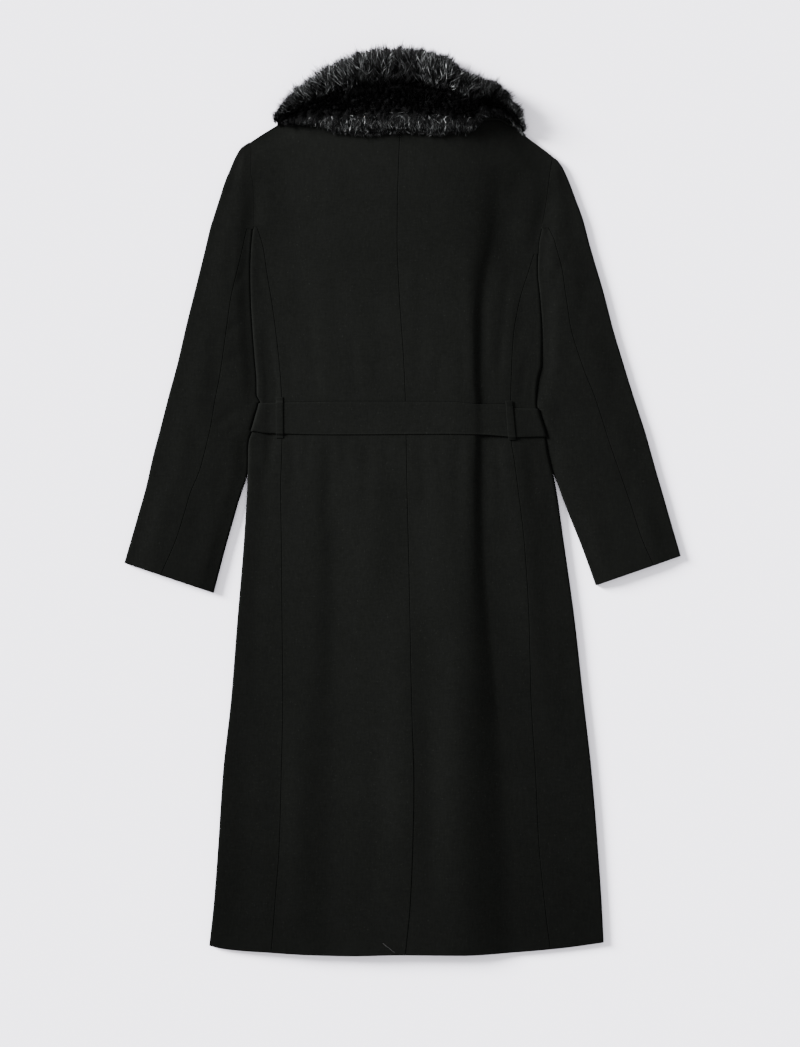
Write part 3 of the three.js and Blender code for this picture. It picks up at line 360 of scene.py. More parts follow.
# Fur collar from the left end to the right end: x, outline, fringe over the back, height
FUR = np.array([
    (-184, 527, 515, 12), (-172, 548, 518, 20), (-155, 566, 521, 27), (-141, 581, 521, 31),
    (-128, 591, 520, 33),
    (-115, 599, 518, 35), (-102, 608, 513, 36.5), (-88, 616, 510, 38), (-66, 624, 508.5, 39.5),
    (-52, 630, 508, 40), (-31, 633, 509, 40.6), (-4, 634.4, 511, 41), (24, 631.5, 510, 40.6),
    (43, 626, 508, 40), (62, 622, 509, 39.4), (74, 610, 509.5, 38.5), (82, 601, 510, 37.5),
    (94, 597, 511, 36.5), (106, 594, 518, 35), (112, 592, 528, 34), (122, 588, 530.5, 32),
    (135, 581, 531, 30), (148, 565, 527, 26.5), (158, 555, 517, 23),
    (164, 543, 511, 19), (169, 527, 507, 15), (176, 514, 503.6, 11),
])
FUR_RISE = [
    (0, 0.06), (0.05, 0.42), (0.14, 0.72), (0.3, 0.95), (0.5, 1), (0.7, 0.93), (0.86, 0.74), (0.96, 0.5),
    (1, 0.3),
]
FUR_ARM = [(0, 600), (14, 560), (32, 505), (56, 466), (80, 452), (105, 458), (130, 486), (148, 522)]
UNDER_COLLAR_EDGE = [
    (-148, 527), (-118, 524), (-94, 517), (-50, 515), (50, 515), (94, 518), (104, 526), (112, 530), (135, 531),
    (148, 524),
]

# Basting thread across the vent: its two ends, and its radius
THREAD = ((-28.7, -616.0), (-9.1, -631.4))
THREAD_RADIUS = 0.22

# Direction in which the key light travels, from the upper left and low over the cloth, and how wide the light
# looks. Half the floor's width in metres, the camera's sensor and the point that it looks down at
KEY_DIRECTION = (0.82, -0.4, -0.33)
KEY_ANGLE = math.radians(20)
FLOOR_REACH = 6.0
SENSOR_WIDTH = 36
VIEW_CENTRE = (-3.5, -31.5)


# Sizes and colours that a user may change

class CoatCloth(bpy.types.PropertyGroup):
    """Sizes and colours of the wool cloth"""

    thickness: FloatProperty(
        name="Cloth", description="Thickness of the wool cloth", default=3.0 * MM, unit="LENGTH",
    )
    loft: FloatProperty(
        name="Loft", description="Height of the back over the surface", default=12.4 * MM, unit="LENGTH",
    )
    relief: FloatProperty(
        name="Creases", description="Depth of the creases, 1 as placed", default=0.6, subtype="FACTOR",
    )
    spacing: FloatProperty(
        name="Spacing", description="Distance of the grid lines", default=4.9 * MM, unit="LENGTH",
    )
    dark: FloatVectorProperty(
        name="Wool", description="Colour of the wool", default=(0.00148, 0.00157, 0.00142), subtype="COLOR",
    )
    light: FloatVectorProperty(
        name="Flecks", description="Colour of the lighter fibres", default=(0.007, 0.0074, 0.00675),
        subtype="COLOR",
    )


class CoatFur(bpy.types.PropertyGroup):
    """Sizes and colours of the fur collar"""

    strands: IntProperty(
        name="Strands", description="Number of strands on the collar", default=36000, min=1000,
    )
    radius: FloatProperty(
        name="Radius", description="Radius of a strand at its root", default=0.24 * MM, unit="LENGTH",
    )
    dark: FloatVectorProperty(
        name="Fur", description="Colour of the fur at its roots", default=(0.0012, 0.0012, 0.0013),
        subtype="COLOR",
    )
    # Colour of the painted highlights (glints) on the strands
    painted_highlight_colour: FloatVectorProperty(
        name="Tips", description="Colour of the lightest tips", default=(0.55, 0.57, 0.575), subtype="COLOR",
    )


class CoatStage(bpy.types.PropertyGroup):
    """Sizes and colours of the floor, the lights and the camera"""

    floor: FloatVectorProperty(
        name="Floor", description="Colour of the floor", default=(0.935, 0.912, 1.0), subtype="COLOR",
    )
    key: FloatProperty(name="Key light", description="Strength of the light from the upper left", default=25.4)
    fill: FloatProperty(name="Fill light", description="Strength of the light from all round", default=1.43)
    distance: FloatProperty(
        name="Distance", description="Height of the camera over the floor", default=4.0, unit="LENGTH",
    )
    height: FloatProperty(
        name="View", description="Length of the floor that the picture shows", default=1.4658, unit="LENGTH",
    )


def settings(group):
    """The scene's property group of that name."""
    return getattr(bpy.context.scene, group)


# Curves and heights

def mix(a, b, t):
    """a at t = 0, b at t = 1, straight between."""
    return a + (b - a) * t


def smooth(t):
    """A soft step: 0 below 0, 1 above 1 and 3t^2 - 2t^3 between."""
    c = np.clip(t, 0.0, 1.0)
    return c * c * (3 - 2 * c)


def soft_step(at, start, end):
    """A soft step from 0 at start to 1 at end."""
    return smooth((at - start) / (end - start))


def soft_span(at, start, full, fall, end):
    """A soft step up from start to full, times one down from fall to end."""
    return soft_step(at, start, full) * (1 - soft_step(at, fall, end))


def bell(off, width):
    """1 where off is 0, falling on both sides as exp(-(off / width)^2)."""
    return np.exp(-((off / width) ** 2))


class Curve:
    """A smooth curve through a table's points that doesn't overshoot them, held past its ends.

    Between two points it is the cubic with the points' slopes, and a point's slope is the harmonic mean of
    the slopes on its two sides, or none at a turning point.
    """

    def __init__(self, at, value):
        self.at, self.value = np.asarray(at, float), np.asarray(value, float)
        step = np.diff(self.at)
        slope = np.diff(self.value) / step
        before, after = 2 * step[1:] + step[:-1], step[1:] + 2 * step[:-1]
        same = slope[1:] * slope[:-1] > 0
        safe = np.where(same, slope[:-1], 1.0), np.where(same, slope[1:], 1.0)
        inner = np.where(same, (before + after) / (before / safe[0] + after / safe[1]), 0.0)
        self.slope = np.concatenate([slope[:1], inner, slope[-1:]])

    def __call__(self, at):
        at = np.clip(at, self.at[0], self.at[-1])
        i = np.clip(np.searchsorted(self.at, at) - 1, 0, len(self.at) - 2)
        step = self.at[i + 1] - self.at[i]
        t = (at - self.at[i]) / step
        ends = (1 + 2 * t) * (1 - t) ** 2 * self.value[i] + t * t * (3 - 2 * t) * self.value[i + 1]
        return ends + step * t * (1 - t) * ((1 - t) * self.slope[i] - t * self.slope[i + 1])


def curve_of(points, column=1):
    """The curve of a table's column over its first column."""
    table = np.array(points, float)
    return Curve(table[:, 0], table[:, column])


class Half:
    """One half of the body, with its edges as curves of a row's y at the centre."""

    def __init__(self, side, side_top, y, seam, edge):
        self.side, self.side_top = side, side_top
        middle = SECTIONS[:, 0]
        self.level = Curve(middle, SECTIONS[:, y])
        self.outline = Curve(middle, SECTIONS[:, edge])
        seams = np.where(np.isnan(SECTIONS[:, seam]), SECTIONS[:, edge], SECTIONS[:, seam])
        self.boundary = Curve(middle, seams)
        self.edge = Curve(SECTIONS[:, y], SECTIONS[:, edge])
        self.top_row = float(middle[np.flatnonzero(SECTIONS[:, y] <= side_top)[-1]])


LEFT = Half(-1, 383.0, 1, 2, 3)
RIGHT = Half(1, 345.0, 4, 5, 6)
FIRST, LAST = SECTIONS[0, 0], SECTIONS[-1, 0]
centre_at = curve_of(CENTRE)
hem_at = curve_of(HEM)
back_top_at = curve_of(SHOULDER_LEFT + BACK_NECK + SHOULDER_RIGHT)
front_top_at = curve_of(SHOULDER_LEFT + FRONT_NECK + SHOULDER_RIGHT)
belt_low, belt_high = curve_of(BELT), curve_of(BELT, 2)
FOLDS = [[curve_of(fold, column) for column in (1, 2, 3, 4)] for fold in (WAIST_FOLD, SIDE_FOLD, SKIRT_FOLD)]


def row_y(half, x, row, top_edge):
    """The y of a point of a row.

    A row is level at the centre and goes to the half's own y towards the edge. Near the hem it takes the
    hem's shape, and near the shoulders that of the top edge.
    """
    out = smooth((np.abs(x) - OVERLAP_HALF) / LEVEL_BLEND)
    first = mix(FIRST, half.level(FIRST), out)
    last = mix(LAST, half.level(LAST), out)
    hem_share = 1 - smooth((row - FIRST) / HEM_BLEND)
    top_share = smooth((row - TOP_BLEND_FROM) / (LAST - TOP_BLEND_FROM))
    return mix(row, half.level(row), out) + (hem_at(x) - first) * hem_share + (top_edge(x) - last) * top_share


def lift(x, y, belt_span, collar_span):
    """Lift of a face by the belt's front and by the collar's front arms, with its spans along y."""
    collar = soft_step(y, *collar_span) * (1 - soft_step(np.abs(x), *COLLAR_LIFT_FADE))
    return BELT_LIFT * soft_span(y, *belt_span) + COLLAR_LIFT * collar


def base_height(x, y):
    """Height of the coat's lowest face, which the belt and the collar's front arms lift."""
    return lift(x, y, *LOWEST_FACE)


def top_lift(x, y):
    """The same lift on the back's outer face, where it runs out softly over a longer way."""
    return lift(x, y, *OUTER_FACE)


def overlap_lift(x):
    """Extra height of the back over the two overlapping fronts."""
    return OVERLAP_STEP * soft_span(x, *OVERLAP_BACK)


def crease_depth(x, y):
    """Depth of the listed creases.

    Each is a trough or ridge along a bowed line: across it the depth falls as exp(-(distance / width)^2), and
    along it the depth rises softly from one end and dies out at the other.
    """
    depth = np.zeros(np.broadcast(x, y).shape)
    for x0, y0, x1, y1, deep, width, bow in CREASES:
        run, up = x1 - x0, y1 - y0
        length = math.hypot(run, up)
        t = ((x - x0) * run + (y - y0) * up) / length**2
        across = ((x - x0) * up - (y - y0) * run) / length - bow * 4 * t * (1 - t)
        ends = smooth((t + CREASE_PAST) / CREASE_RISE) * smooth((1 + CREASE_PAST - t) / CREASE_RUN_OUT)
        depth += deep * ends * bell(across, width)
    return depth


def belt_middle(x):
    """The y of the belt's middle line."""
    return (belt_low(x) + belt_high(x)) / 2


def under_belt(x, y):
    """1 where the belt presses the cloth flat, 0 away from it."""
    return 1 - soft_step(np.abs(y - belt_middle(x)), *UNDER_BELT)


def belt_trench(x, y):
    """Depth of the trench that the belt presses into the cloth: full under it, with soft walls beside it."""
    low, high = belt_low(x) + TRENCH_INSETS[0], belt_high(x) - TRENCH_INSETS[1]
    return TRENCH * soft_span(y, low - TRENCH_WALL, low, high, high + TRENCH_WALL)


def fold_depth(x, y):
    """Depth of the long folds: a bell across each fold's line, with its depth and its two widths at y."""
    depth = 0.0
    for line, deep, left, right in FOLDS:
        off = x - line(y)
        depth = depth + deep(y) * bell(off, np.where(off < 0, left(y), right(y)))
    return depth


def vent_height(half, x, y):
    """The vent: the left half's free edge stands a little up, and the right half sinks under it."""
    from_centre = x - centre_at(y)
    down = 1 - soft_step(y - VENT_TOP, *VENT_EASE)
    if half is LEFT:
        return VENT_LIFT * down * soft_step(from_centre, *VENT_LIFT_SPAN)
    return -VENT_SINK * down * (1 - soft_step(from_centre, *VENT_SINK_SPAN))


def edge_loft(half, y):
    """Height of the body's edge: a full fold below the armpit, the armhole seam above it."""
    return mix(2 * FOLD_RADIUS, ARMHOLE_LOFT, soft_step(y - half.side_top, *ARMHOLE_LOFT_FROM))


def soft_floor(height, floor):
    """height where it is well over floor, and about floor where it is below, with a soft bend between."""
    over = height - floor
    return floor + 0.5 * (over + np.sqrt(over * over + FLOOR_BEND)) - FLOOR_SINK


def back_height(half, x, y, share=1.0):
    """Height of the back's outer face: loft over the surface less folds and creases, closed at the shoulders.

    It is drawn in near the belt, has the belt's trench and a trough beside the armhole. share is how much of
    the long folds' depth it has.
    """
    cloth = settings("coat_cloth")
    from_edge = half.edge(y) - x
    inwards = np.abs(from_edge) - FOLD_RADIUS
    inside = smooth(inwards / LOFT_SPREAD[half.side])
    creases = cloth.relief * crease_depth(x, y) * soft_step(inwards, *CREASE_FROM_EDGE)
    creases = creases * (1 - under_belt(x, y))
    over_fronts = overlap_lift(x)
    opened = mix(edge_loft(half, y), cloth.loft / MM, inside) + over_fronts
    opened = opened - fold_depth(x, y) * share - creases
    opened = opened - inside * (CINCH * bell(y - belt_middle(x), CINCH_WIDTH) + belt_trench(x, y))
    sewn = soft_step(y - half.side_top, *TROUGH_FROM) * (1 - soft_step(y, *TROUGH_TO))
    opened = opened - TROUGH * sewn * bell(from_edge, TROUGH_WIDTH)
    closed = LAYERS_CLOSED + over_fronts
    shoulder = smooth((back_top_at(x) - y) / SHOULDER_ROLL)
    height = mix(closed, soft_floor(opened, closed), shoulder)
    return top_lift(x, y) + vent_height(half, x, y) + height


def back_top(x, y, share=1.0):
    """Height of the back's outer face on either half."""
    return np.where(x < 0, back_height(LEFT, x, y, share), back_height(RIGHT, x, y, share))


# Grids and meshes

def places(width, step, low=True, high=True):
    """Places across a usual width, as a share and a fixed distance: close together near the free edges."""
    lows = EDGE_STEPS if low else EDGE_STEPS[:1]
    highs = EDGE_STEPS if high else EDGE_STEPS[:1]
    reach = lows[-1] + highs[-1]
    t = np.linspace(0, 1, max(2, round((width - reach) / step)) + 1)
    share = np.concatenate([0 * lows[:-1], t, 0 * highs[:-1] + 1])
    fixed = np.concatenate([lows[:-1], mix(lows[-1], -highs[-1], t), -highs[-2::-1]])
    return share, fixed, reach


def spread_over(start, end, layout):
    """The places of a layout between two ends, which may differ from row to row."""
    share, fixed, reach = layout
    length = end - start
    fit = np.minimum(1, 0.9 * np.abs(length) / max(reach, 1e-6))
    return start + length * share + np.sign(length) * fixed * fit


def step_of(times=1.0):
    """Distance of the grid lines, in mm."""
    return times * settings("coat_cloth").spacing / MM


def unit(vectors):
    """Vectors brought to length 1."""
    return vectors / np.maximum(np.linalg.norm(vectors, axis=-1, keepdims=True), 1e-12)


def from_edges(points, axis):
    """Distance of each grid point from the nearer end of its grid line, along the line."""
    steps = np.linalg.norm(np.diff(points, axis=axis), axis=-1)
    along = np.cumsum(np.insert(steps, 0, 0, axis=axis), axis=axis)
    total = np.take(along, [-1], axis=axis)
    return np.minimum(along, total - along)


def grid_faces(index):
    """The quads of a grid of vertex numbers."""
    return np.stack([index[:-1, :-1], index[:-1, 1:], index[1:, 1:], index[1:, :-1]], -1).reshape(-1, 4)


def cloth_shell(outer, up=1, thickness=None, edge_round=EDGE_ROUND):
    """A closed shell of cloth from its outer grid of points.

    The middle lies half a thickness under the outer face along the face's normals. Both faces stand off it
    by half the thickness, and near the free edges by a quarter circle's share of it, so that the two faces
    meet in a round edge. up is the sign of the outer face's z on the grid's first column.
    """
    thick = settings("coat_cloth").thickness / MM if thickness is None else thickness
    normal = unit(np.cross(np.gradient(outer, axis=1), np.gradient(outer, axis=0)))
    turned = np.sign(normal[:, 0, 2].mean()) * up
    normal = normal * turned
    near = np.minimum(from_edges(outer, 0), from_edges(outer, 1))
    half = 0.5 * thick * np.sqrt(np.clip(1 - (1 - np.minimum(near / edge_round, 1)) ** 2, 0, 1))
    middle = outer - normal * thick / 2
    front, back = middle + normal * half[..., None], middle - normal * half[..., None]
    index = np.arange(near.size).reshape(near.shape)
    inside = np.zeros(near.shape, bool)
    inside[1:-1, 1:-1] = True
    under = index.copy()
    under[inside] = near.size + np.arange(inside.sum())
    faces = grid_faces(index), grid_faces(under)[:, ::-1]
    quads = np.concatenate([faces[0], faces[1]] if turned < 0 else [faces[0][:, ::-1], faces[1][:, ::-1]])
    return np.concatenate([front.reshape(-1, 3), back[inside]]), quads


def joined(parts):
    """Several meshes as one."""
    starts = np.cumsum([0] + [len(points) for points, _ in parts[:-1]])
    quads = [faces + start for (_, faces), start in zip(parts, starts)]
    return np.concatenate([points for points, _ in parts]), np.concatenate(quads)


def mesh_object(name, points, faces, finish, attributes=None):
    """A shown piece from points in mm and faces of three or four corners, riding on the coat's body."""
    mesh = bpy.data.meshes.new(name)
    corners = faces.shape[1]
    mesh.vertices.add(len(points))
    mesh.vertices.foreach_set("co", np.ascontiguousarray(points * MM, np.float32).ravel())
    mesh.loops.add(faces.size)
    mesh.loops.foreach_set("vertex_index", np.ascontiguousarray(faces, np.int32).ravel())
    mesh.polygons.add(len(faces))
    mesh.polygons.foreach_set("loop_start", np.arange(0, faces.size, corners, dtype=np.int32))
    mesh.polygons.foreach_set("use_smooth", np.ones(len(faces), bool))
    for key, values in (attributes or {}).items():
        attribute = mesh.attributes.new(key, "FLOAT", "POINT")
        attribute.data.foreach_set("value", np.ascontiguousarray(values, np.float32))
    mesh.update(calc_edges=True)
    mesh.validate()
    piece = bpy.data.objects.new(name, mesh)
    bpy.context.collection.objects.link(piece)
    mesh.materials.append(finish)
    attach(piece, "root")
    return piece


def cloth_piece(name, parts):
    """A cloth piece that stands for the part's node of that name, which it hides."""
    points, faces = joined(parts)
    piece = mesh_object(f"{name}_wool", points, faces, wool_finish())
    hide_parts(name)
    return piece


# Finishes

class Value:
    """A socket of a finish. Arithmetic on it adds Math nodes."""

    def __init__(self, finish, socket):
        self.finish, self.socket = finish, socket

    def math(self, operation, first, second):
        return self.finish.node("ShaderNodeMath", {"operation": operation}, {0: first, 1: second})

    def __add__(self, other):
        return self.math("ADD", self, other)

    def __sub__(self, other):
        return self.math("SUBTRACT", self, other)

    def __rsub__(self, other):
        return self.math("SUBTRACT", other, self)

    def __mul__(self, other):
        return self.math("MULTIPLY", self, other)

    def __pow__(self, other):
        return self.math("POWER", self, other)

    __radd__ = __add__
    __rmul__ = __mul__


class Finish:
    """A material in the making."""

    def __init__(self, name):
        self.material = bpy.data.materials.new(name)
        self.material.use_nodes = True
        self.tree = self.material.node_tree
        self.tree.nodes.clear()

    def node(self, kind, choices=None, sockets=None, output=0):
        """A node of a kind with its choices, and values or links on its sockets."""
        made = self.tree.nodes.new(kind)
        for key, choice in (choices or {}).items():
            setattr(made, key, choice)
        for key, value in (sockets or {}).items():
            if isinstance(value, Value):
                self.tree.links.new(value.socket, made.inputs[key])
            else:
                made.inputs[key].default_value = value
        return Value(self, made.outputs[output])

    def colour(self, share, first, second):
        """A colour between two others."""
        ends = {key: end if isinstance(end, Value) else (*end, 1) for key, end in ((6, first), (7, second))}
        return self.node("ShaderNodeMix", {"data_type": "RGBA"}, {0: share, **ends}, 2)

    def ramp(self, value, start, end):
        """A soft step of a value: 0 at start, 1 at end."""
        ends = {1: start, 2: end, 3: 0.0, 4: 1.0}
        return self.node("ShaderNodeMapRange", {"interpolation_type": "SMOOTHSTEP"}, {0: value, **ends})

    def noise(self, scale, detail=2.0, stretch=(1, 1, 1), rough=0.5):
        """Soft noise in the piece's own place, from 0 to 1, stretched along an axis where a share is small."""
        at = self.node("ShaderNodeTexCoord", output=3)
        at = self.node("ShaderNodeMapping", None, {"Vector": at, "Scale": stretch})
        sockets = {"Vector": at, "Scale": scale, "Detail": detail, "Roughness": rough}
        return self.node("ShaderNodeTexNoise", None, sockets)

    def output(self, **sockets):
        """Ends the material with a Principled surface."""
        plain = {key.replace("_", " "): value for key, value in sockets.items()}
        surface = self.node("ShaderNodeBsdfPrincipled", None, plain)
        end = self.tree.nodes.new("ShaderNodeOutputMaterial")
        self.tree.links.new(surface.socket, end.inputs["Surface"])
        return self.material


def finish_named(name, make):
    """The material of that name, made once."""
    return bpy.data.materials.get(name) or make(Finish(name))


# Painted shade that darkens the wool, in metres: out from the middle, beyond the body, down the skirt, at the
# hem
PAINTED_SHADE_OUTWARD = (0.04, 0.2)
PAINTED_SHADE_BEYOND = (0.16, 0.27)
PAINTED_SHADE_LOW = (0.06, -0.36)
PAINTED_SHADE_HEM = (-0.36, -0.6)


def wool_finish():
    """Milled wool: near black, with lighter fibres lying all ways; painted shade darkens it outwards and down.
    """
    def make(finish):
        colours = settings("coat_cloth")
        nap = finish.noise(420, 4, rough=0.7)
        along = finish.noise(380, 3, (1, 0.25, 1))
        across = finish.noise(360, 3, (0.28, 1, 1))
        broad = finish.noise(26, 3)
        place = finish.node("ShaderNodeTexCoord", output=3)
        across_coat = finish.node("ShaderNodeSeparateXYZ", None, {0: place})
        along_coat = finish.node("ShaderNodeSeparateXYZ", None, {0: place}, 1)
        from_middle = finish.node("ShaderNodeMath", {"operation": "ABSOLUTE"}, {0: across_coat})
        outward, beyond = finish.ramp(from_middle, *PAINTED_SHADE_OUTWARD), finish.ramp(from_middle, *PAINTED_SHADE_BEYOND)
        low, hem = finish.ramp(along_coat, *PAINTED_SHADE_LOW), finish.ramp(along_coat, *PAINTED_SHADE_HEM)
        # Painted shade: the wool's colour is darkened out from the middle, down the skirt, at the hem and
        # beyond the body
        laid = (1 - 0.14 * outward) * (1 - 0.06 * outward * low) * (1 - 0.12 * low)
        laid = laid * (1 - 0.16 * hem) * (1 - 0.02 * beyond)
        heather = nap * 0.45 + along * 0.3 + across * 0.25
        fibre = finish.noise(520, 1, (1, 0.6, 1), 0.5)
        fleck = finish.node("ShaderNodeClamp", None, {0: (fibre - 0.685) * 9})
        shade = finish.colour(heather * 0.8 + broad * 0.14 - 0.07 + fleck * 0.5, colours.dark, colours.light)
        # The painted shade is mixed into the wool's colour here
        shade = finish.colour(laid, (0.0, 0.0, 0.0), shade)
        height = nap * 0.6 + along * 0.45 + across * 0.35
        bump = finish.node("ShaderNodeBump", None, {"Strength": 0.35, "Distance": 0.0005, "Height": height})
        return finish.output(
            Base_Color=shade, Roughness=0.84 + 0.12 * nap, Normal=bump, Specular_IOR_Level=0.0,
            Sheen_Weight=0.004, Sheen_Roughness=0.5, Sheen_Tint=(0.75, 0.8, 0.85, 1),
        )
    return finish_named("black_wool", make)


def hide_finish():
    """The dark ground of the fur between the strands."""
    def make(finish):
        colours = settings("coat_fur")
        clumps = finish.noise(160, 3)
        shade = finish.colour(clumps ** 2, (0.0004, 0.0004, 0.0004), colours.dark)
        bump = finish.node("ShaderNodeBump", None, {"Strength": 0.8, "Distance": 0.002, "Height": clumps})
        return finish.output(Base_Color=shade, Roughness=0.95, Normal=bump, Specular_IOR_Level=0.02)
    return finish_named("fur_ground", make)


def fur_finish():
    """Fur strands: black, with a painted highlight where the strand's glint is high."""
    def make(finish):
        colours = settings("coat_fur")
        glint = finish.node("ShaderNodeAttribute", {"attribute_name": "glint"}, output=2)
        # Painted highlight: the glint mixes the strands' black towards the light grey of the highlights
        shade = finish.colour(glint, colours.dark, colours.painted_highlight_colour)
        return finish.output(Base_Color=shade, Roughness=0.62 - 0.12 * glint, Specular_IOR_Level=0.06)
    return finish_named("black_fur", make)


def thread_finish():
    """Cotton thread with its twist, a little paler than the wool."""
    def make(finish):
        twist = finish.noise(2400, 2)
        shade = finish.colour(twist, (0.008, 0.008, 0.008), (0.02, 0.02, 0.02))
        bump = finish.node("ShaderNodeBump", None, {"Strength": 0.4, "Distance": 0.0002, "Height": twist})
        return finish.output(Base_Color=shade, Roughness=0.8, Normal=bump)
    return finish_named("white_thread", make)


# Body panels

def body_rows(end=LAST):
    """The rows of the body from the hem up to a row, as a column, close together beside the belt."""
    low, high = BELT_ROWS
    return np.concatenate([
        spread_over(FIRST, low, places(low - FIRST, step_of(), high=False))[:-1],
        spread_over(low, high, places(high - low, step_of(BELT_ROW_STEP), low=False, high=False)),
        spread_over(high, end, places(end - high, step_of(), low=False))[1:],
    ])[:, None]


def back_panel(half):
    """A back panel from the centre seam to the princess seam and, above the side panel, to the armhole.

    Its columns stand at even shares of the way across, and close together beside the long fold. Two of its
    rows stand at the side panel's top.
    """
    row, top = body_rows(), half.top_row
    row = np.sort(np.append(row[np.abs(row - top) > ROW_CLEARANCE], [top, top + SEAM_GAP]))[:, None]
    centre_y = row_y(half, 0.0, row, back_top_at)
    start = centre_at(centre_y) + half.side * SEAM_GAP / 2
    end = np.where(row > top, half.outline(row), half.boundary(row)) - half.side * SEAM_GAP / 2
    if half is LEFT:
        x = spread_over(start, end, places(BACK_WIDTH, step_of()))
    else:
        near, past = (FOLDS[0][0](centre_y) + off for off in LONG_FOLD_NEAR)
        width = LONG_FOLD_NEAR[1] - LONG_FOLD_NEAR[0]
        x = np.concatenate([
            spread_over(start, near, places(BEFORE_FOLD_WIDTH, step_of(), high=False))[:, :-1],
            spread_over(near, past, places(width, LONG_FOLD_STEP, low=False, high=False)),
            spread_over(past, end, places(AFTER_FOLD_WIDTH, step_of(), low=False))[:, 1:],
        ], axis=1)
    y = row_y(half, x, row, back_top_at)
    return np.stack([x, y, back_height(half, x, y)], -1)


def vent_underlay():
    """The strip under the left half that joins the right half's edge at the vent and narrows to a tip."""
    rows = spread_over(VENT_TOP, VENT_FOOT, places(VENT_TOP - VENT_FOOT, step_of()))[:, None]
    width = mix(VENT_TIP_SHARE, 1, smooth((VENT_TOP - rows) / VENT_TIP_LENGTH))
    across = places(VENT_WIDTH + VENT_JOIN, step_of())
    offset = spread_over(-VENT_WIDTH * width, VENT_JOIN + 0 * rows, across)
    x, y = centre_at(rows) + offset, rows + 0 * offset
    depth = mix(*VENT_DEPTHS, smooth(offset / VENT_DEPTH_RAMP))
    return np.stack([x, y, back_height(RIGHT, x, y) - depth], -1)


def pressed_fold(angle):
    """Out and up of a fold of radius one: sine and cosine, each to a power that makes the circle fuller."""
    cosine = np.cos(angle)
    return np.abs(np.sin(angle)) ** FOLD_POWER, np.sign(cosine) * np.abs(cosine) ** FOLD_POWER


def turned_under(tops, heights, axis, sign, unders, base):
    """A section over the top, round a pressed fold and back underneath, as places across and heights."""
    angle = np.linspace(0, np.pi, FOLD_POINTS)[1:-1]
    middle = base + FOLD_RADIUS
    top_at_axis = heights[:, -1:]
    ease = (top_at_axis - (middle + FOLD_RADIUS)) * (1 - angle / np.pi) ** 2
    out, up = pressed_fold(angle)
    across = np.concatenate([tops, axis + sign * FOLD_RADIUS * out, unders], axis=1)
    height = np.concatenate([heights, middle + FOLD_RADIUS * up + ease, base + 0 * unders], axis=1)
    return across, height


def side_panel(half):
    """A side panel: over the back from the princess seam, round the fold of the side, to the side seam."""
    row = body_rows(half.top_row)
    edge = half.outline(row)
    axis = edge - half.side * FOLD_RADIUS
    start = half.boundary(row) + half.side * SEAM_GAP / 2
    tops = spread_over(start, axis, places(SIDE_WIDTH, step_of(), high=False))
    end = edge - half.side * (SIDE_SEAM_INSET - SEAM_GAP / 2)
    unders = spread_over(axis, end, places(SIDE_UNDER_WIDTH, step_of(), low=False))
    y = row_y(half, tops, row, back_top_at)
    base = base_height(axis, row_y(half, axis, row, back_top_at))
    x, z = turned_under(tops, back_height(half, tops, y), axis, half.side, unders, base)
    return np.stack([x, row_y(half, x, row, back_top_at), z], -1)


def front_panel(half, step):
    """A front, plain and flat on the surface: from the side seam across the centre to the overlap's edge."""
    top = half.top_row
    low = spread_over(FIRST, top, places(top - FIRST, FRONT_ROW_STEP, high=False))
    high = spread_over(top + SEAM_GAP, LAST, places(LAST - top, FRONT_ROW_STEP, low=False))
    row = np.concatenate([low, high])[:, None]
    inset = np.where(row <= top, SIDE_SEAM_INSET + SEAM_GAP / 2, 0)
    start = half.outline(row) - half.side * inset
    x = spread_over(start, -half.side * OVERLAP_HALF + 0 * row, places(FRONT_WIDTH, FRONT_STEP))
    y = row_y(half, x, row, front_top_at)
    return np.stack([x, y, base_height(x, y) + step(x)], -1)


def right_front_step(x):
    """Height of the right front over the surface: it is the lowest layer."""
    return 0 * x


def left_front_step(x):
    """Height of the left front where it lies on the right front."""
    return OVERLAP_STEP * smooth((x + OVERLAP_HALF + OVERLAP_RAMP + OVERLAP_CLEAR) / OVERLAP_RAMP)


# Sleeves

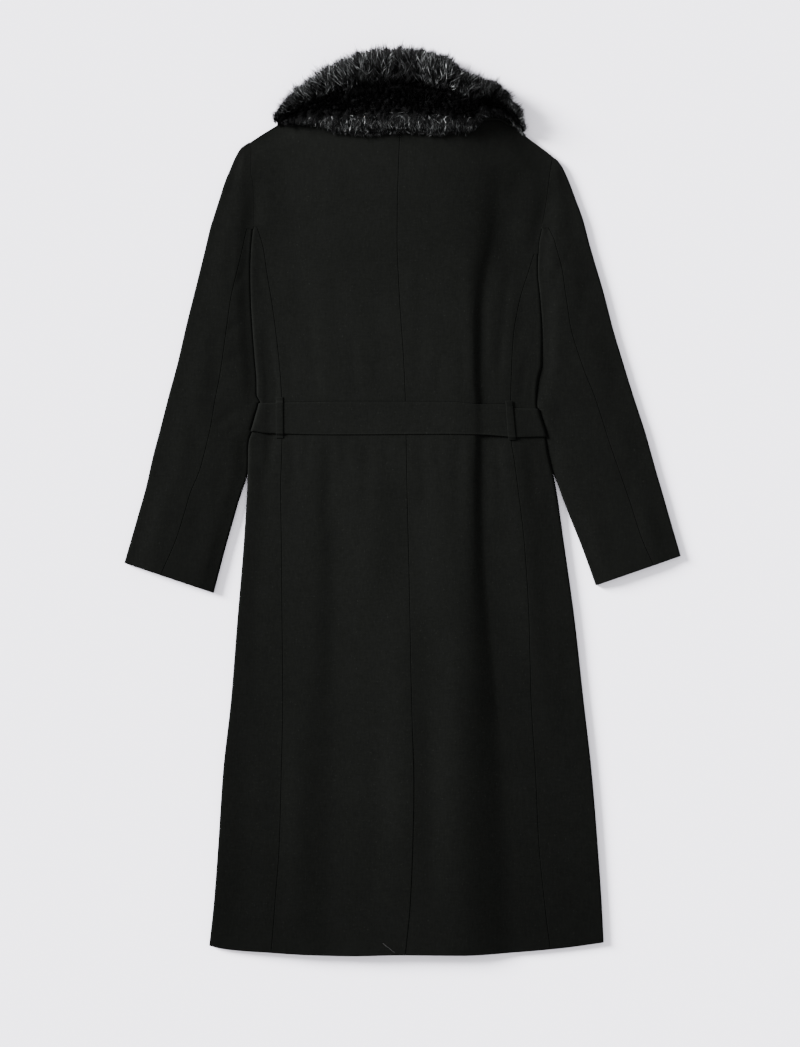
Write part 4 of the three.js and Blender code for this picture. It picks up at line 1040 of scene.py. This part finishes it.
class Sleeve:
    """A sleeve's sections as curves of the distance along its outer fold."""

    def __init__(self, half, table):
        outer, inner = table[:, 0:2], table[:, 2:4]
        self.half = half
        self.at = np.insert(np.cumsum(np.linalg.norm(np.diff(outer, axis=0), axis=1)), 0, 0.0)
        width = np.linalg.norm(inner - outer, axis=1)
        seam_share = (table[:, 4] - outer[:, 0]) / (inner[:, 0] - outer[:, 0])
        self.columns = [Curve(self.at, table[:, i]) for i in range(4)]
        self.seam = Curve(self.at, width * np.where(np.isnan(seam_share), 1, seam_share))
        self.front = Curve(self.at, table[:, 5])
        tube = np.flatnonzero(~np.isnan(seam_share))[0]
        self.armhole_end, self.tube_start = self.at[tube - 1], self.at[tube]

    def frame(self, row):
        """Ends and width of the sections at distances, and 1 where they are a tube, 0 at the armhole."""
        x0, y0, x1, y1 = (column(row) for column in self.columns)
        tube = smooth((row - self.armhole_end) / (self.tube_start - self.armhole_end))
        edge = self.half.edge(y1)
        low, high = belt_low(edge), belt_high(edge)
        belt = soft_span(y1, low - ROOM_OUTSIDE, low + ROOM_INSIDE, high - ROOM_INSIDE, high + ROOM_OUTSIDE)
        beside = edge + self.half.side * ((BELT_GAP + BELT_CLOTH) * belt - SLEEVE_PRESSED * tube)
        x1 = mix(x1, beside, soft_step(y1, *SLEEVE_BESIDE))
        return x0, y0, x1, y1, np.hypot(x1 - x0, y1 - y0), tube

    def height(self, row, along, x, y):
        """Height of the outer face: crowned between the two folds, and level with the back at the armhole."""
        x0, y0, x1, y1, width, tube = self.frame(row)
        rise = smooth((along - FOLD_RADIUS) / np.minimum(SLEEVE_SPREAD, 0.5 * width))
        fall = smooth((width - FOLD_RADIUS - along) / SLEEVE_FALL)
        sewn_to = back_height(self.half, x1, y1)
        full = mix(sewn_to + HEAD_LIFT, SLEEVE_CROWN, soft_step(row, *HEAD_RISE))
        belt_y, belt_width = SLEEVE_ON_BELT_AT
        on_belt = SLEEVE_ON_BELT * bell(y1 - belt_y, belt_width) * (1 - fall) * rise
        crown = mix(2 * FOLD_RADIUS, full, rise * fall) + on_belt
        head = mix(2 * FOLD_RADIUS, full, rise)
        head_fall = mix(HEAD_FALL, SLEEVE_FALL, soft_step(row - self.armhole_end, *NEAR_ARMPIT))
        from_armhole = smooth((width - along) / np.minimum(head_fall, 0.7 * width))
        sewn = mix(sewn_to, head, from_armhole)
        from_inner = mix(from_armhole, soft_step(width - along, *CREASE_FROM_INNER), tube)
        reach = soft_step(along, *CREASE_FROM_OUTER) * from_inner
        folded = settings("coat_cloth").relief * crease_depth(x, y) * reach
        return mix(sewn, crown, tube) - folded

    def section(self, row, sign, top_from, axis, under_to, widths):
        """One side of the sleeve: over the top, round a fold and underneath."""
        x0, y0, x1, y1, width, _ = self.frame(row)
        tops = spread_over(top_from, axis, places(widths[0], step_of(), high=False))
        unders = spread_over(axis, under_to, places(widths[1], step_of(UNDERNEATH_STEP), low=False))
        share = tops / width
        heights = self.height(row, tops, mix(x0, x1, share), mix(y0, y1, share))
        along, z = turned_under(tops, heights, axis, sign, unders, 0 * axis)
        share = along / width
        return np.stack([mix(x0, x1, share), mix(y0, y1, share), z], -1)

    def rows(self, start, end, times=1.0):
        """Distances along the sleeve's outer fold, as a column."""
        return spread_over(start, end, places(end - start, step_of(times)))[:, None]

    def top(self):
        """The top sleeve: from the elbow seam, or the armhole, round the outer fold to the front seam."""
        start, end = self.tube_start, self.at[-1]
        row = np.concatenate([self.rows(0.0, start - ARMPIT_GAP), self.rows(start, end)])
        width = self.frame(row)[4]
        tube = row >= self.tube_start
        gap = SEAM_GAP / 2
        top_from = np.where(tube, self.seam(row) - gap, width + SLEEVE_SEWN)
        under_to = np.where(tube, width - self.front(row) - gap, width)
        return self.section(row, -1, top_from, FOLD_RADIUS + 0 * row, under_to, TOP_WIDTHS)

    def under(self):
        """The under sleeve: from the elbow seam round the inner fold to the front seam."""
        high, low = np.interp([-BELT_ROWS[1], -BELT_ROWS[0]], -self.columns[3].value, self.at)
        close = len(EDGE_STEPS) - 1
        row = np.concatenate([
            self.rows(self.tube_start, high, UNDER_ROW_STEP)[:-close],
            np.linspace(high - 3, low, UNDER_ROWS_BY_BELT)[:, None],
            self.rows(low, self.at[-1], UNDER_ROW_STEP)[close:],
        ])
        width = self.frame(row)[4]
        top_from, under_to = self.seam(row) + SEAM_GAP / 2, width - self.front(row) + SEAM_GAP / 2
        return self.section(row, 1, top_from, width - FOLD_RADIUS, under_to, UNDER_WIDTHS)


# Belt, loops and under collar

def belt_band():
    """The belt: one band from the front's middle round both sides and over the back.

    Over the back it lies a small gap above the cloth. Round a side it is a wider fold about the side's own.
    """
    share = spread_over(0.0, BELT_WIDTH, places(BELT_WIDTH, BELT_STEP))[:, None] / BELT_WIDTH
    radius = FOLD_RADIUS + BELT_GAP + BELT_CLOTH

    def belt_y(x):
        return mix(belt_low(x), belt_high(x), share)

    def side(half):
        y = belt_y(half.edge(BELT_SIDE_Y))
        axis = half.edge(y) - half.side * FOLD_RADIUS
        angle = np.linspace(np.pi, 0, BELT_SIDE_POINTS)[1:]
        across = places(BELT_UNDER_WIDTH, BELT_UNDER_STEP, high=False)
        under = spread_over(half.side * BELT_FRONT_GAP / 2 + 0 * axis, axis, across)
        out, up = pressed_fold(angle)
        x = np.concatenate([under, axis + half.side * radius * out], axis=1)
        z = BELT_LIFT + FOLD_RADIUS + radius * np.concatenate([0 * under - 1, up + 0 * axis], axis=1)
        return np.stack([x, belt_y(axis) + 0 * x, z], -1), axis

    left, left_axis = side(LEFT)
    right, right_axis = side(RIGHT)
    across = places(BELT_OVER_WIDTH, BELT_OVER_STEP, low=False, high=False)
    over = spread_over(left_axis, right_axis, across)[:, 1:-1]
    y = belt_y(over)
    top = back_top(over, y, BELT_FOLD_SHARE) + BELT_GAP + BELT_CLOTH
    ends = smooth(np.minimum(over - left_axis, right_axis - over) / BELT_SIDE_BLEND)
    z = mix(BELT_LIFT + FOLD_RADIUS + radius, top, ends)
    return np.concatenate([left, np.stack([over, y, z], -1), right[:, ::-1]], axis=1)


def belt_loop(spans):
    """A loop: sewn to the back at both ends, over the belt between them, with a soft crown across."""
    high, low, high_from, high_to, low_from, low_to = spans
    half = LEFT if high_from < 0 else RIGHT
    y = spread_over(low, high, places(high - low, LOOP_STEP))[:, None]
    t = (y - low) / (high - low)
    start, end = mix(low_from, high_from, t), mix(low_to, high_to, t)
    x = spread_over(start, end, places(high_to - high_from, LOOP_STEP))
    y = y + 0 * x
    under, over = belt_low(x), belt_high(x)
    over_belt = soft_span(y, under - LOOP_RISE, under, over, over + LOOP_RISE)
    crown = LOOP_CROWN * np.sin(np.pi * np.clip((x - start) / (end - start), 0, 1))
    z = back_height(half, x, y, BELT_FOLD_SHARE) + LOOP_HEIGHT + crown + over_belt * (BELT_CLOTH + BELT_GAP)
    return np.stack([x, y, z], -1)


def under_collar():
    """The under collar on the back, with a bound lower edge: a bead along it and a stitched line beside it."""
    half, depth = UNDER_COLLAR_HALF, UNDER_COLLAR_DEPTH
    x = spread_over(-half, half, places(2 * half, UNDER_COLLAR_STEPS[0]))[None, :]
    low = curve_of(UNDER_COLLAR_EDGE)(x)
    share = spread_over(0.0, depth, places(depth, UNDER_COLLAR_STEPS[1]))[:, None] / depth
    y = mix(low, back_top_at(x) - UNDER_COLLAR_INSET, share)
    x = x + 0 * y
    bead, stitches = (high * bell(y - low - off, width) for high, off, width in (COLLAR_BEAD, COLLAR_STITCHES))
    return np.stack([x, y, back_top(x, y) + COLLAR_GAP + UNDER_COLLAR + (bead - stitches)], -1)


# Fur

fur_top, fur_fringe, fur_high = (curve_of(FUR, column) for column in (1, 2, 3))
fur_rise = curve_of(FUR_RISE)
fur_arm = curve_of(FUR_ARM)
FUR_FROM, FUR_TO = float(FUR[0, 0]), float(FUR[-1, 0])


# Fur's ground: how far its lower edge stands over the fringe, how far its far edge stands inside the outline
# and how far its crest lies below the collar's height, each as a distance and as a share of the collar's depth
# or height, and the crest's least height. Then how far it swells outwards and goes back behind the outline,
# and the depth of the collar at which it does so fully
GROUND_OVER_FRINGE = (8, 0.22)
GROUND_INSIDE_OUTLINE = (15, 0.3)
GROUND_BELOW_TOP = (11, 0.35)
GROUND_LEAST = 4
GROUND_SWELL = 4
GROUND_BACK = 10
GROUND_FULL = 60


def at_most(limit, whole):
    """The smaller of a distance and a share of the whole."""
    distance, share = limit
    return np.minimum(distance, share * whole)


def fur_ground(x, s):
    """Point of the fur's ground: by the fringe where s is 0, by the outline where it is 1, then behind it."""
    top, fringe, high = fur_top(x), fur_fringe(x), fur_high(x)
    span = top - fringe
    low, far = fringe + at_most(GROUND_OVER_FRINGE, span), top - at_most(GROUND_INSIDE_OUTLINE, span)
    beyond = np.clip(s - 1, 0, 1)
    full = np.minimum(1, span / GROUND_FULL)
    y = mix(low, far, np.minimum(s, 1)) + GROUND_SWELL * np.sin(np.pi * np.minimum(beyond * 2, 1)) * full
    y = y - GROUND_BACK * beyond * full
    over = back_top(x, np.minimum(y, back_top_at(x) - 1))
    crest = np.maximum(high - at_most(GROUND_BELOW_TOP, high), GROUND_LEAST)
    under = np.minimum(over + 2.5, crest * 0.9)
    near = mix(under, crest, fur_rise(s))
    far_side = crest * fur_rise(s)
    z = mix(near, far_side, smooth((s - 0.4) / 0.4))
    return y, z * (1 - beyond) + 0.8 * beyond


def fur_body():
    """The fur's dark ground as a closed body.

    A section goes over the fall, down the roll, back on the surface and under the back's neck to the fringe.
    """
    x = np.linspace(FUR_FROM + 9, FUR_TO - 8, 150)[:, None]

    def under_back(at):
        return np.maximum(base_height(x, at) - 1.0, 1.6)

    s = np.concatenate([np.linspace(0, 1, 30), 1 + np.linspace(0.1, 0.9, 6)])[None, :]
    y, z = fur_ground(x + 0 * s, s + 0 * x)
    first, last = y[:, :1], y[:, -1:]
    edge = back_top_at(x) + 2.2
    arm = np.minimum(np.where(np.abs(x) > UNDER_COLLAR_HALF, edge + 1, fur_arm(np.abs(x))), last - 4)
    edge = np.minimum(edge, last - 1)
    bottom = np.concatenate([mix(last - 2, arm, t) for t in (0.0, 0.33, 0.66, 1.0)], axis=1)
    middle = mix(arm, edge, 0.5)
    ys = np.concatenate([y, bottom, arm, middle, edge, edge, mix(edge, first, 0.5)], axis=1)
    lid = [under_back(arm) * 0.7, under_back(middle), under_back(edge)]
    zs = np.concatenate([z, 0 * bottom + 0.3, *lid, np.repeat(z[:, :1] - 1.2, 2, axis=1)], axis=1)
    points = np.stack([x + 0 * ys, ys, zs], -1)
    count, around = ys.shape
    index = np.arange(count * around).reshape(count, around)
    wrapped = np.concatenate([index, index[:, :1]], axis=1)
    quads = grid_faces(wrapped)
    caps = [
        np.stack([wrapped[0, 1:], wrapped[0, :-1], np.full(around, count * around)], -1),
        np.stack([wrapped[-1, :-1], wrapped[-1, 1:], np.full(around, count * around + 1)], -1),
    ]
    triangles = np.concatenate([quads[:, [0, 1, 2]], quads[:, [0, 2, 3]], *caps])
    points = np.concatenate([points.reshape(-1, 3), points[[0, -1]].mean(axis=1)])
    corner = points[triangles]
    volume = np.einsum("ij,ij->", corner[:, 0], np.cross(corner[:, 1], corner[:, 2]))
    return points, triangles if volume > 0 else triangles[:, ::-1]


# Lean of the strands from the fringe to behind the outline: back where it is below 0, out where it is above
FUR_LEAN = [
    (0, -0.98), (0.1, -0.93), (0.22, -0.7), (0.34, -0.25), (0.46, 0.1), (0.6, 0.42), (0.78, 0.74), (1, 0.93),
    (2, 0.99),
]

# Height above which strands are bent down, and the most by which they rise over it
FUR_LEVEL = 46.0
FUR_SPARE = 4.5

# Strands of a clump, what the way from the fringe to the outline counts as between clumps, the strands that
# find their clumps at once, turns of a clump and of a strand, share of strands with a painted highlight and
# how much looser they are, how deep a root lies, shortest and longest strand, and the spans of x where the
# fringe is short and where its painted highlight is weaker
CLUMP_STRANDS = 16
CLUMP_MEASURE = 90
STRANDS_AT_ONCE = 2000
CLUMP_TURN = (0.34, 0.2, 0.13)
STRAND_TURN = (0.17, 0.13, 0.1)
BRIGHT_SHARE = 0.24
BRIGHT_LOOSER = 1.7
ROOT_DEPTH = 1.5
SHORT, LONG = 9, 28
SHORT_FRINGE = (98, 110, 150, 158)
DARK_FRINGE = (98, 110, 148, 156)

# Rings of a strand's tube: their places along it and their shares of its radius
RING_AT = np.array([0.0, 0.38, 0.74])
RING_RADIUS = np.array([1.0, 0.9, 0.6])


def fur_clumps(random, x, s, x_range, s_range):
    """Clumps strewn over a zone: the number of each strand's nearest clump, and each clump's own turn."""
    count = len(x)
    clumps = max(12, count // CLUMP_STRANDS)
    clump_x = random.uniform(*x_range, clumps)
    clump_at = np.stack([clump_x, random.uniform(*s_range, clumps) * CLUMP_MEASURE], -1)
    clump_turn = random.normal(0, 1, (clumps, 3))
    own = np.empty(count, int)
    place = np.stack([x, s * CLUMP_MEASURE], -1)
    for start in range(0, count, STRANDS_AT_ONCE):
        some = slice(start, start + STRANDS_AT_ONCE)
        gap = place[some, None] - clump_at[None]
        own[some] = np.argmin((gap**2).sum(-1), axis=1)
    return own, clump_turn


def strand_directions(x, lean):
    """Directions before they are turned: the lean's share along the surface, out or back, and the rest up."""
    slope = (fur_top(x + 6) - fur_top(x - 6)) / 12
    out = unit(np.stack([-0.6 * slope + 0.5 * (x / 175) ** 3, 1 + 0 * x], -1))
    back = unit(np.stack([0.35 * (x / 175), -1 + 0 * x], -1))
    side = np.where(lean[:, None] > 0, out, back)
    return np.concatenate([side * np.abs(lean)[:, None], np.sqrt(1 - lean**2)[:, None]], axis=1)


def strand_lengths(random, x, y, lean, clump):
    """Lengths: the way to the outline or to the fringe, held between a shortest and a longest length.

    They differ from strand to strand and from clump to clump, are less where the collar is narrow, and along
    the outline go up and down in tufts.
    """
    top, fringe = fur_top(x), fur_fringe(x)
    reach = np.where(lean > 0, (top - y) / np.maximum(lean, 0.35), (y - fringe) / np.maximum(-lean, 0.35))
    longest = mix(SHORT, LONG, smooth((np.abs(lean) - 0.26) / 0.6))
    shortest = random.uniform(0.45, 1.25, len(x)) * mix(SHORT, 5, soft_span(x, *SHORT_FRINGE) * (lean < 0))
    length = np.minimum(np.maximum(reach, shortest) * random.uniform(0.62, 1.1, len(x)), longest)
    length = length * random.uniform(0.8, 1.08, len(x)) * (1 + 0.2 * np.clip(clump, -1.5, 1.2))
    thin = np.minimum(1, (top - fringe) / 55)
    tuft = np.abs(np.sin(np.pi * x / 18 + 1.1 * np.sin(x / 27))) ** 0.6
    return length * mix(0.55, 1, thin) * np.where(lean > 0.4, mix(0.9, 1.42, tuft), 1.0)


def strand_bends(random, tip, lean, own, clumps):
    """Bends: a part of the way to the mean tip of the clump, and down towards the cloth or the surface."""
    members = np.maximum(np.bincount(own, minlength=clumps), 1)
    clump_tip = np.stack([np.bincount(own, tip[:, axis], clumps) / members for axis in range(3)], -1)
    share = random.uniform(0.2, 0.75, len(tip)) * np.where(lean > 0.6, 1.1, 1.0)
    bend = (clump_tip[own] - tip) * share[:, None]
    x, y, z = tip.T
    ground = np.where(y < back_top_at(x) - 2, back_top(x, y) + 4, 1.5)
    bend[:, 2] -= np.where(lean < -0.3, 0.75, 0.25) * np.maximum(z - ground, 0) * np.abs(lean) ** 2
    return bend


def strand_tubes(random, root, direction, length, bend, lean):
    """Ten points a strand: three rings of three along root + length t direction + t^2 bend, and the tip.

    They are held over the cloth or the surface, and bent down softly above the fur's level.
    """
    count = len(root)
    along = length[:, None] * direction
    t = RING_AT[None, :, None]
    path = root[:, None] + along[:, None] * t + bend[:, None] * t**2
    thick = random.uniform(0.75, 1.25, count) * mix(1, 1.45, smooth((lean - 0.5) / 0.3))
    radius = settings("coat_fur").radius / MM * thick[:, None] * RING_RADIUS
    axis_a = unit(np.cross(direction, random.normal(0, 1, (count, 3))))
    axis_b = np.cross(direction, axis_a)
    turn = np.arange(3) * 2 * np.pi / 3
    ring = axis_a[:, None] * np.cos(turn)[None, :, None] + axis_b[:, None] * np.sin(turn)[None, :, None]
    tube = path[:, :, None] + radius[:, :, None, None] * ring[:, None]
    points = np.concatenate([tube.reshape(count, 9, 3), (root + along + bend)[:, None]], axis=1)
    x, y = points[..., 0], points[..., 1]
    lowest = np.where(y < back_top_at(x) - 1, back_top(x, y) + 0.6, 0.3)
    points[..., 2] = np.maximum(points[..., 2], lowest)
    above = np.maximum(points[..., 2] - FUR_LEVEL, 0)
    points[..., 2] += FUR_SPARE * np.tanh(above / (2 * FUR_SPARE)) - above
    return points


def strand_faces(count):
    """Triangles of the strands: two rounds of quads between the three rings, the tip and the closed root."""
    turns = [(i, (i + 1) % 3) for i in range(3)]
    quads = [(k + i, k + j, k + 3 + j, k + 3 + i) for k in (0, 3) for i, j in turns]
    triangles = [(a, b, c) for a, b, c, _ in quads] + [(a, c, d) for a, _, c, d in quads]
    triangles += [(6 + i, 6 + j, 9) for i, j in turns] + [(0, 2, 1)]
    return (np.array(triangles)[None] + 10 * np.arange(count)[:, None, None]).reshape(-1, 3)


def strand_glints(random, strength, x, own, clumps):
    """Painted highlight of the strands' points: high on one ring, and varied by clumps and in soft stripes."""
    strength = strength * mix(0.25, 1.5, random.uniform(0, 1, clumps)[own] ** 1.5)
    strength = strength * (1 + 0.45 * np.sin(0.17 * x + 2 * np.sin(0.061 * x)))
    lower = random.uniform(0, 1, len(x))[:, None] < 0.5
    share = np.repeat(np.where(lower, [[0.0, 1.0, 0.12, 0.0]], [[0.0, 0.12, 1.0, 0.1]]), [3, 3, 3, 1], axis=1)
    return np.clip(strength[:, None] * share, 0, 1).ravel()


def fur_zone(name, count, seed, x_range, s_range, lit, wild=1.0):
    """Fur strands on one zone of the collar, as one mesh.

    A strand is a tapered three-sided tube along root + length t direction + t^2 bend. Its direction leans
    back over the fringe, stands up on the fall and leans out over the outline; the strands of a clump share
    a part of their lean and draw together at their tips.
    """
    random = np.random.default_rng(seed)
    x = random.uniform(*x_range, count)
    s = random.uniform(*s_range, count)
    y, z = fur_ground(x, s)
    lean = curve_of(FUR_LEAN)(s)
    own, clump_turn = fur_clumps(random, x, s, x_range, s_range)
    clumps = len(clump_turn)
    jitter = random.normal(0, 1, (count, 3))
    # Strands that get a strong painted highlight
    bright = random.uniform(0, 1, count) < BRIGHT_SHARE
    loose = np.where(bright, BRIGHT_LOOSER, 1.0)[:, None]
    direction = strand_directions(x, lean) + clump_turn[own] * CLUMP_TURN
    direction = unit(direction + jitter * loose * wild * STRAND_TURN)
    length = strand_lengths(random, x, y, lean, clump_turn[own, 2])
    place = np.stack([x, y, z], -1)
    bend = strand_bends(random, place + direction * length[:, None], lean, own, clumps)
    points = strand_tubes(random, place - direction * ROOT_DEPTH, direction, length, bend, lean)
    # Strength of each strand's painted highlight
    strength = lit(x, s) * np.where(bright, random.uniform(0.1, 0.85, count), random.uniform(0, 0.04, count))
    glint = strand_glints(random, strength, x, own, clumps)
    piece = mesh_object(name, points.reshape(-1, 3), strand_faces(count), fur_finish(), {"glint": glint})
    return piece


def crown_light(x, s):
    """Painted highlight on the crown's strands: most near the outline, little at the parting and down the
    fall.
    """
    parting = 1 - 0.75 * bell(x + 6, 20)
    right = mix(1.0, 0.6, smooth((x - 60) / 20)) + 0.5 * smooth((x - 150) / 12)
    return smooth((s - 0.57) / 0.1) * parting * right


def fall_light(x, s):
    """Painted highlight on the strands of the dark fall: hardly any."""
    return 0.02 + 0 * x


def fringe_light(x, s):
    """Painted highlight on the fringe's strands: most over the back's middle, little at the far ends."""
    left = smooth((x + 170) / 50)
    dark = 1 - 0.7 * soft_span(x, *DARK_FRINGE)
    low_edge = mix(0.4, 1.0, smooth((s + 0.05) / 0.14))
    return 1.38 * low_edge * left * dark * (1 - smooth((s - 0.2) / 0.1))


# Zones of the fur: share of all strands, seed, spans along the collar and across it, painted highlight, and
# how wildly the strands stand
FUR_ZONES = {
    "fur_crown_left": (0.26, 11, (FUR_FROM + 6, 0), (0.5, 1.6), crown_light, 1.5),
    "fur_crown_right": (0.26, 12, (0, FUR_TO - 6), (0.5, 1.6), crown_light, 1.5),
    "fur_fall": (0.2, 13, (FUR_FROM + 14, FUR_TO - 12), (0.2, 0.56), fall_light, 1.0),
    "fur_fringe": (0.28, 14, (FUR_FROM + 22, FUR_TO - 4), (-0.07, 0.22), fringe_light, 3.0),
}

# Points along the basting thread, and round it
THREAD_STEPS = 24
THREAD_SIDES = 8


def vent_thread():
    """The basting thread: a tube along a straight line, lifted in its middle and pulled in at both ends."""
    t = np.linspace(0, 1, THREAD_STEPS)[:, None]
    x, y = (mix(a, b, t) for a, b in zip(*THREAD))
    lifted = 0.5 * np.sin(np.pi * t) - 1.2 * (np.abs(2 * t - 1) ** 8)
    centre = np.concatenate([x, y, back_height(LEFT, x, y) + THREAD_RADIUS * 0.6 + lifted], axis=1)
    along = unit(np.gradient(centre, axis=0))
    across = unit(np.cross(along, (0, 0, 1.0)))
    angle = np.linspace(0, 2 * np.pi, THREAD_SIDES + 1)[:-1][None, :, None]
    radius = THREAD_RADIUS * np.sqrt(np.clip(1 - (2 * t - 1) ** 20, 0.05, 1))[..., None]
    ring = across[:, None] * np.cos(angle) + np.cross(across, along)[:, None] * np.sin(angle)
    points = (centre[:, None] + radius * ring).reshape(-1, 3)
    index = np.arange(len(points)).reshape(THREAD_STEPS, THREAD_SIDES)
    quads = grid_faces(np.concatenate([index, index[:, :1]], axis=1))
    caps = np.array([[0, 1, 2, 3], [0, 3, 4, 7], [4, 5, 6, 7]])
    return points, np.concatenate([quads, caps, caps[:, ::-1] + len(points) - THREAD_SIDES])


# Operators

class COAT_OT_back(bpy.types.Operator):
    """Makes the two back panels, with the vent's underlay on the right one"""

    bl_idname = "coat.back"
    bl_label = "Back panels"

    def execute(self, context):
        cloth_piece("back_left", [cloth_shell(back_panel(LEFT))])
        parts = [cloth_shell(back_panel(RIGHT)), cloth_shell(vent_underlay())]
        cloth_piece("back_right", parts)
        return {"FINISHED"}


class COAT_OT_sides(bpy.types.Operator):
    """Makes the two side panels, which fold round the sides of the coat"""

    bl_idname = "coat.sides"
    bl_label = "Side panels"

    def execute(self, context):
        for name, half, cut, area in (
            ("side_back_left", LEFT, (0.108, 1.02), 0.075), ("side_back_right", RIGHT, (0.1, 0.98), 0.07),
        ):
            shell = cloth_shell(side_panel(half))
            cloth_piece(name, [shell])
        return {"FINISHED"}


class COAT_OT_fronts(bpy.types.Operator):
    """Makes the two fronts, which lie on the surface under the back"""

    bl_idname = "coat.fronts"
    bl_label = "Fronts"

    def execute(self, context):
        right = cloth_shell(front_panel(RIGHT, right_front_step), -1)
        cloth_piece("front_right", [right])
        left = cloth_shell(front_panel(LEFT, left_front_step), -1)
        cloth_piece("front_left", [left])
        return {"FINISHED"}


class COAT_OT_sleeves(bpy.types.Operator):
    """Makes the top sleeves and the under sleeves"""

    bl_idname = "coat.sleeves"
    bl_label = "Sleeves"

    def execute(self, context):
        for side, sleeve in (("left", Sleeve(LEFT, SLEEVE_LEFT)), ("right", Sleeve(RIGHT, SLEEVE_RIGHT))):
            top, under = cloth_shell(sleeve.top()), cloth_shell(sleeve.under())
            cloth_piece(f"sleeve_{side}_top", [top])
            cloth_piece(f"sleeve_{side}_under", [under])
        return {"FINISHED"}


class COAT_OT_belt(bpy.types.Operator):
    """Makes the belt and its two loops"""

    bl_idname = "coat.belt"
    bl_label = "Belt and loops"

    def execute(self, context):
        for name, spans in LOOPS.items():
            shell = cloth_shell(belt_loop(spans), 1, LOOP_CLOTH, LOOP_EDGE_ROUND)
            cloth_piece(name, [shell])
        shell = cloth_shell(belt_band(), -1, BELT_CLOTH, BELT_EDGE_ROUND)
        cloth_piece("belt", [shell])
        return {"FINISHED"}


class COAT_OT_collar(bpy.types.Operator):
    """Makes the under collar and the fur's dark ground"""

    bl_idname = "coat.collar"
    bl_label = "Collar"

    def execute(self, context):
        shell = cloth_shell(under_collar(), thickness=UNDER_COLLAR)
        cloth_piece("under_collar", [shell])
        body = mesh_object("fur_ground", *fur_body(), hide_finish())
        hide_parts("fur_collar")
        return {"FINISHED"}


class COAT_OT_fur(bpy.types.Operator):
    """Makes the strands of the fur, zone by zone"""

    bl_idname = "coat.fur"
    bl_label = "Fur"

    def execute(self, context):
        count = settings("coat_fur").strands
        for name, (share, *zone) in FUR_ZONES.items():
            fur_zone(name, round(count * share), *zone)
        return {"FINISHED"}


class COAT_OT_thread(bpy.types.Operator):
    """Makes the basting thread that still holds the vent"""

    bl_idname = "coat.thread"
    bl_label = "Basting thread"

    def execute(self, context):
        mesh_object("vent_thread", *vent_thread(), thread_finish())
        return {"FINISHED"}


class COAT_OT_stage(bpy.types.Operator):
    """Makes the floor, the lights and the camera"""

    bl_idname = "coat.stage"
    bl_label = "Stage"

    def execute(self, context):
        stage = settings("coat_stage")
        floor = bpy.data.meshes.new("floor")
        corners = [(FLOOR_REACH * a, FLOOR_REACH * b, 0) for a, b in ((-1, -1), (1, -1), (1, 1), (-1, 1))]
        floor.from_pydata(corners, [], [(0, 1, 2, 3)])
        plane = bpy.data.objects.new("floor", floor)
        context.collection.objects.link(plane)
        colour = (*stage.floor, 1)
        pale = Finish("pale_floor").output(Base_Color=colour, Roughness=0.9, Specular_IOR_Level=0.1)
        floor.materials.append(pale)
        sun = bpy.data.lights.new("key", "SUN")
        sun.energy, sun.angle = stage.key, KEY_ANGLE
        key = bpy.data.objects.new("key", sun)
        key.rotation_euler = Vector(KEY_DIRECTION).to_track_quat("-Z", "Y").to_euler()
        context.collection.objects.link(key)
        world = bpy.data.worlds.new("studio")
        world.use_nodes = True
        world.node_tree.nodes["Background"].inputs["Color"].default_value = (1, 1, 1, 1)
        world.node_tree.nodes["Background"].inputs["Strength"].default_value = stage.fill
        context.scene.world = world
        camera = bpy.data.cameras.new("camera")
        camera.sensor_fit, camera.sensor_width = "AUTO", SENSOR_WIDTH
        camera.lens = SENSOR_WIDTH * stage.distance / stage.height
        camera.clip_end = 100
        eye = bpy.data.objects.new("camera", camera)
        eye.location = (VIEW_CENTRE[0] * MM, VIEW_CENTRE[1] * MM, stage.distance)
        context.collection.objects.link(eye)
        context.scene.camera = eye
        return {"FINISHED"}


class COAT_PT_panel(bpy.types.Panel):
    """Lists the coat's settings and the operators that make its pieces"""

    bl_label = "Long coat"
    bl_idname = "COAT_PT_panel"
    bl_space_type = "VIEW_3D"
    bl_region_type = "UI"
    bl_category = "Coat"

    def draw(self, context):
        for group in GROUPS:
            box = self.layout.box()
            values = getattr(context.scene, group)
            for key in values.bl_rna.properties.keys():
                if key not in {"name", "rna_type"}:
                    box.prop(values, key)
        for operator in OPERATORS:
            self.layout.operator(operator.bl_idname)


GROUPS = {"coat_cloth": CoatCloth, "coat_fur": CoatFur, "coat_stage": CoatStage}
OPERATORS = (
    COAT_OT_stage, COAT_OT_fronts, COAT_OT_back, COAT_OT_sides, COAT_OT_sleeves, COAT_OT_belt, COAT_OT_collar,
    COAT_OT_fur, COAT_OT_thread,
)


def register():
    """Adds the classes and the scene's property groups."""
    for made in (*GROUPS.values(), *OPERATORS, COAT_PT_panel):
        bpy.utils.register_class(made)
    for name, group in GROUPS.items():
        setattr(bpy.types.Scene, name, PointerProperty(type=group))


def unregister():
    """Takes the property groups and the classes away again."""
    for name in GROUPS:
        delattr(bpy.types.Scene, name)
    for made in reversed((*GROUPS.values(), *OPERATORS, COAT_PT_panel)):
        bpy.utils.unregister_class(made)


def main():
    """Makes the whole coat and its stage."""
    register()
    for operator in OPERATORS:
        group, name = operator.bl_idname.split(".")
        getattr(getattr(bpy.ops, group), name)()


if __name__ == "__main__":
    main()
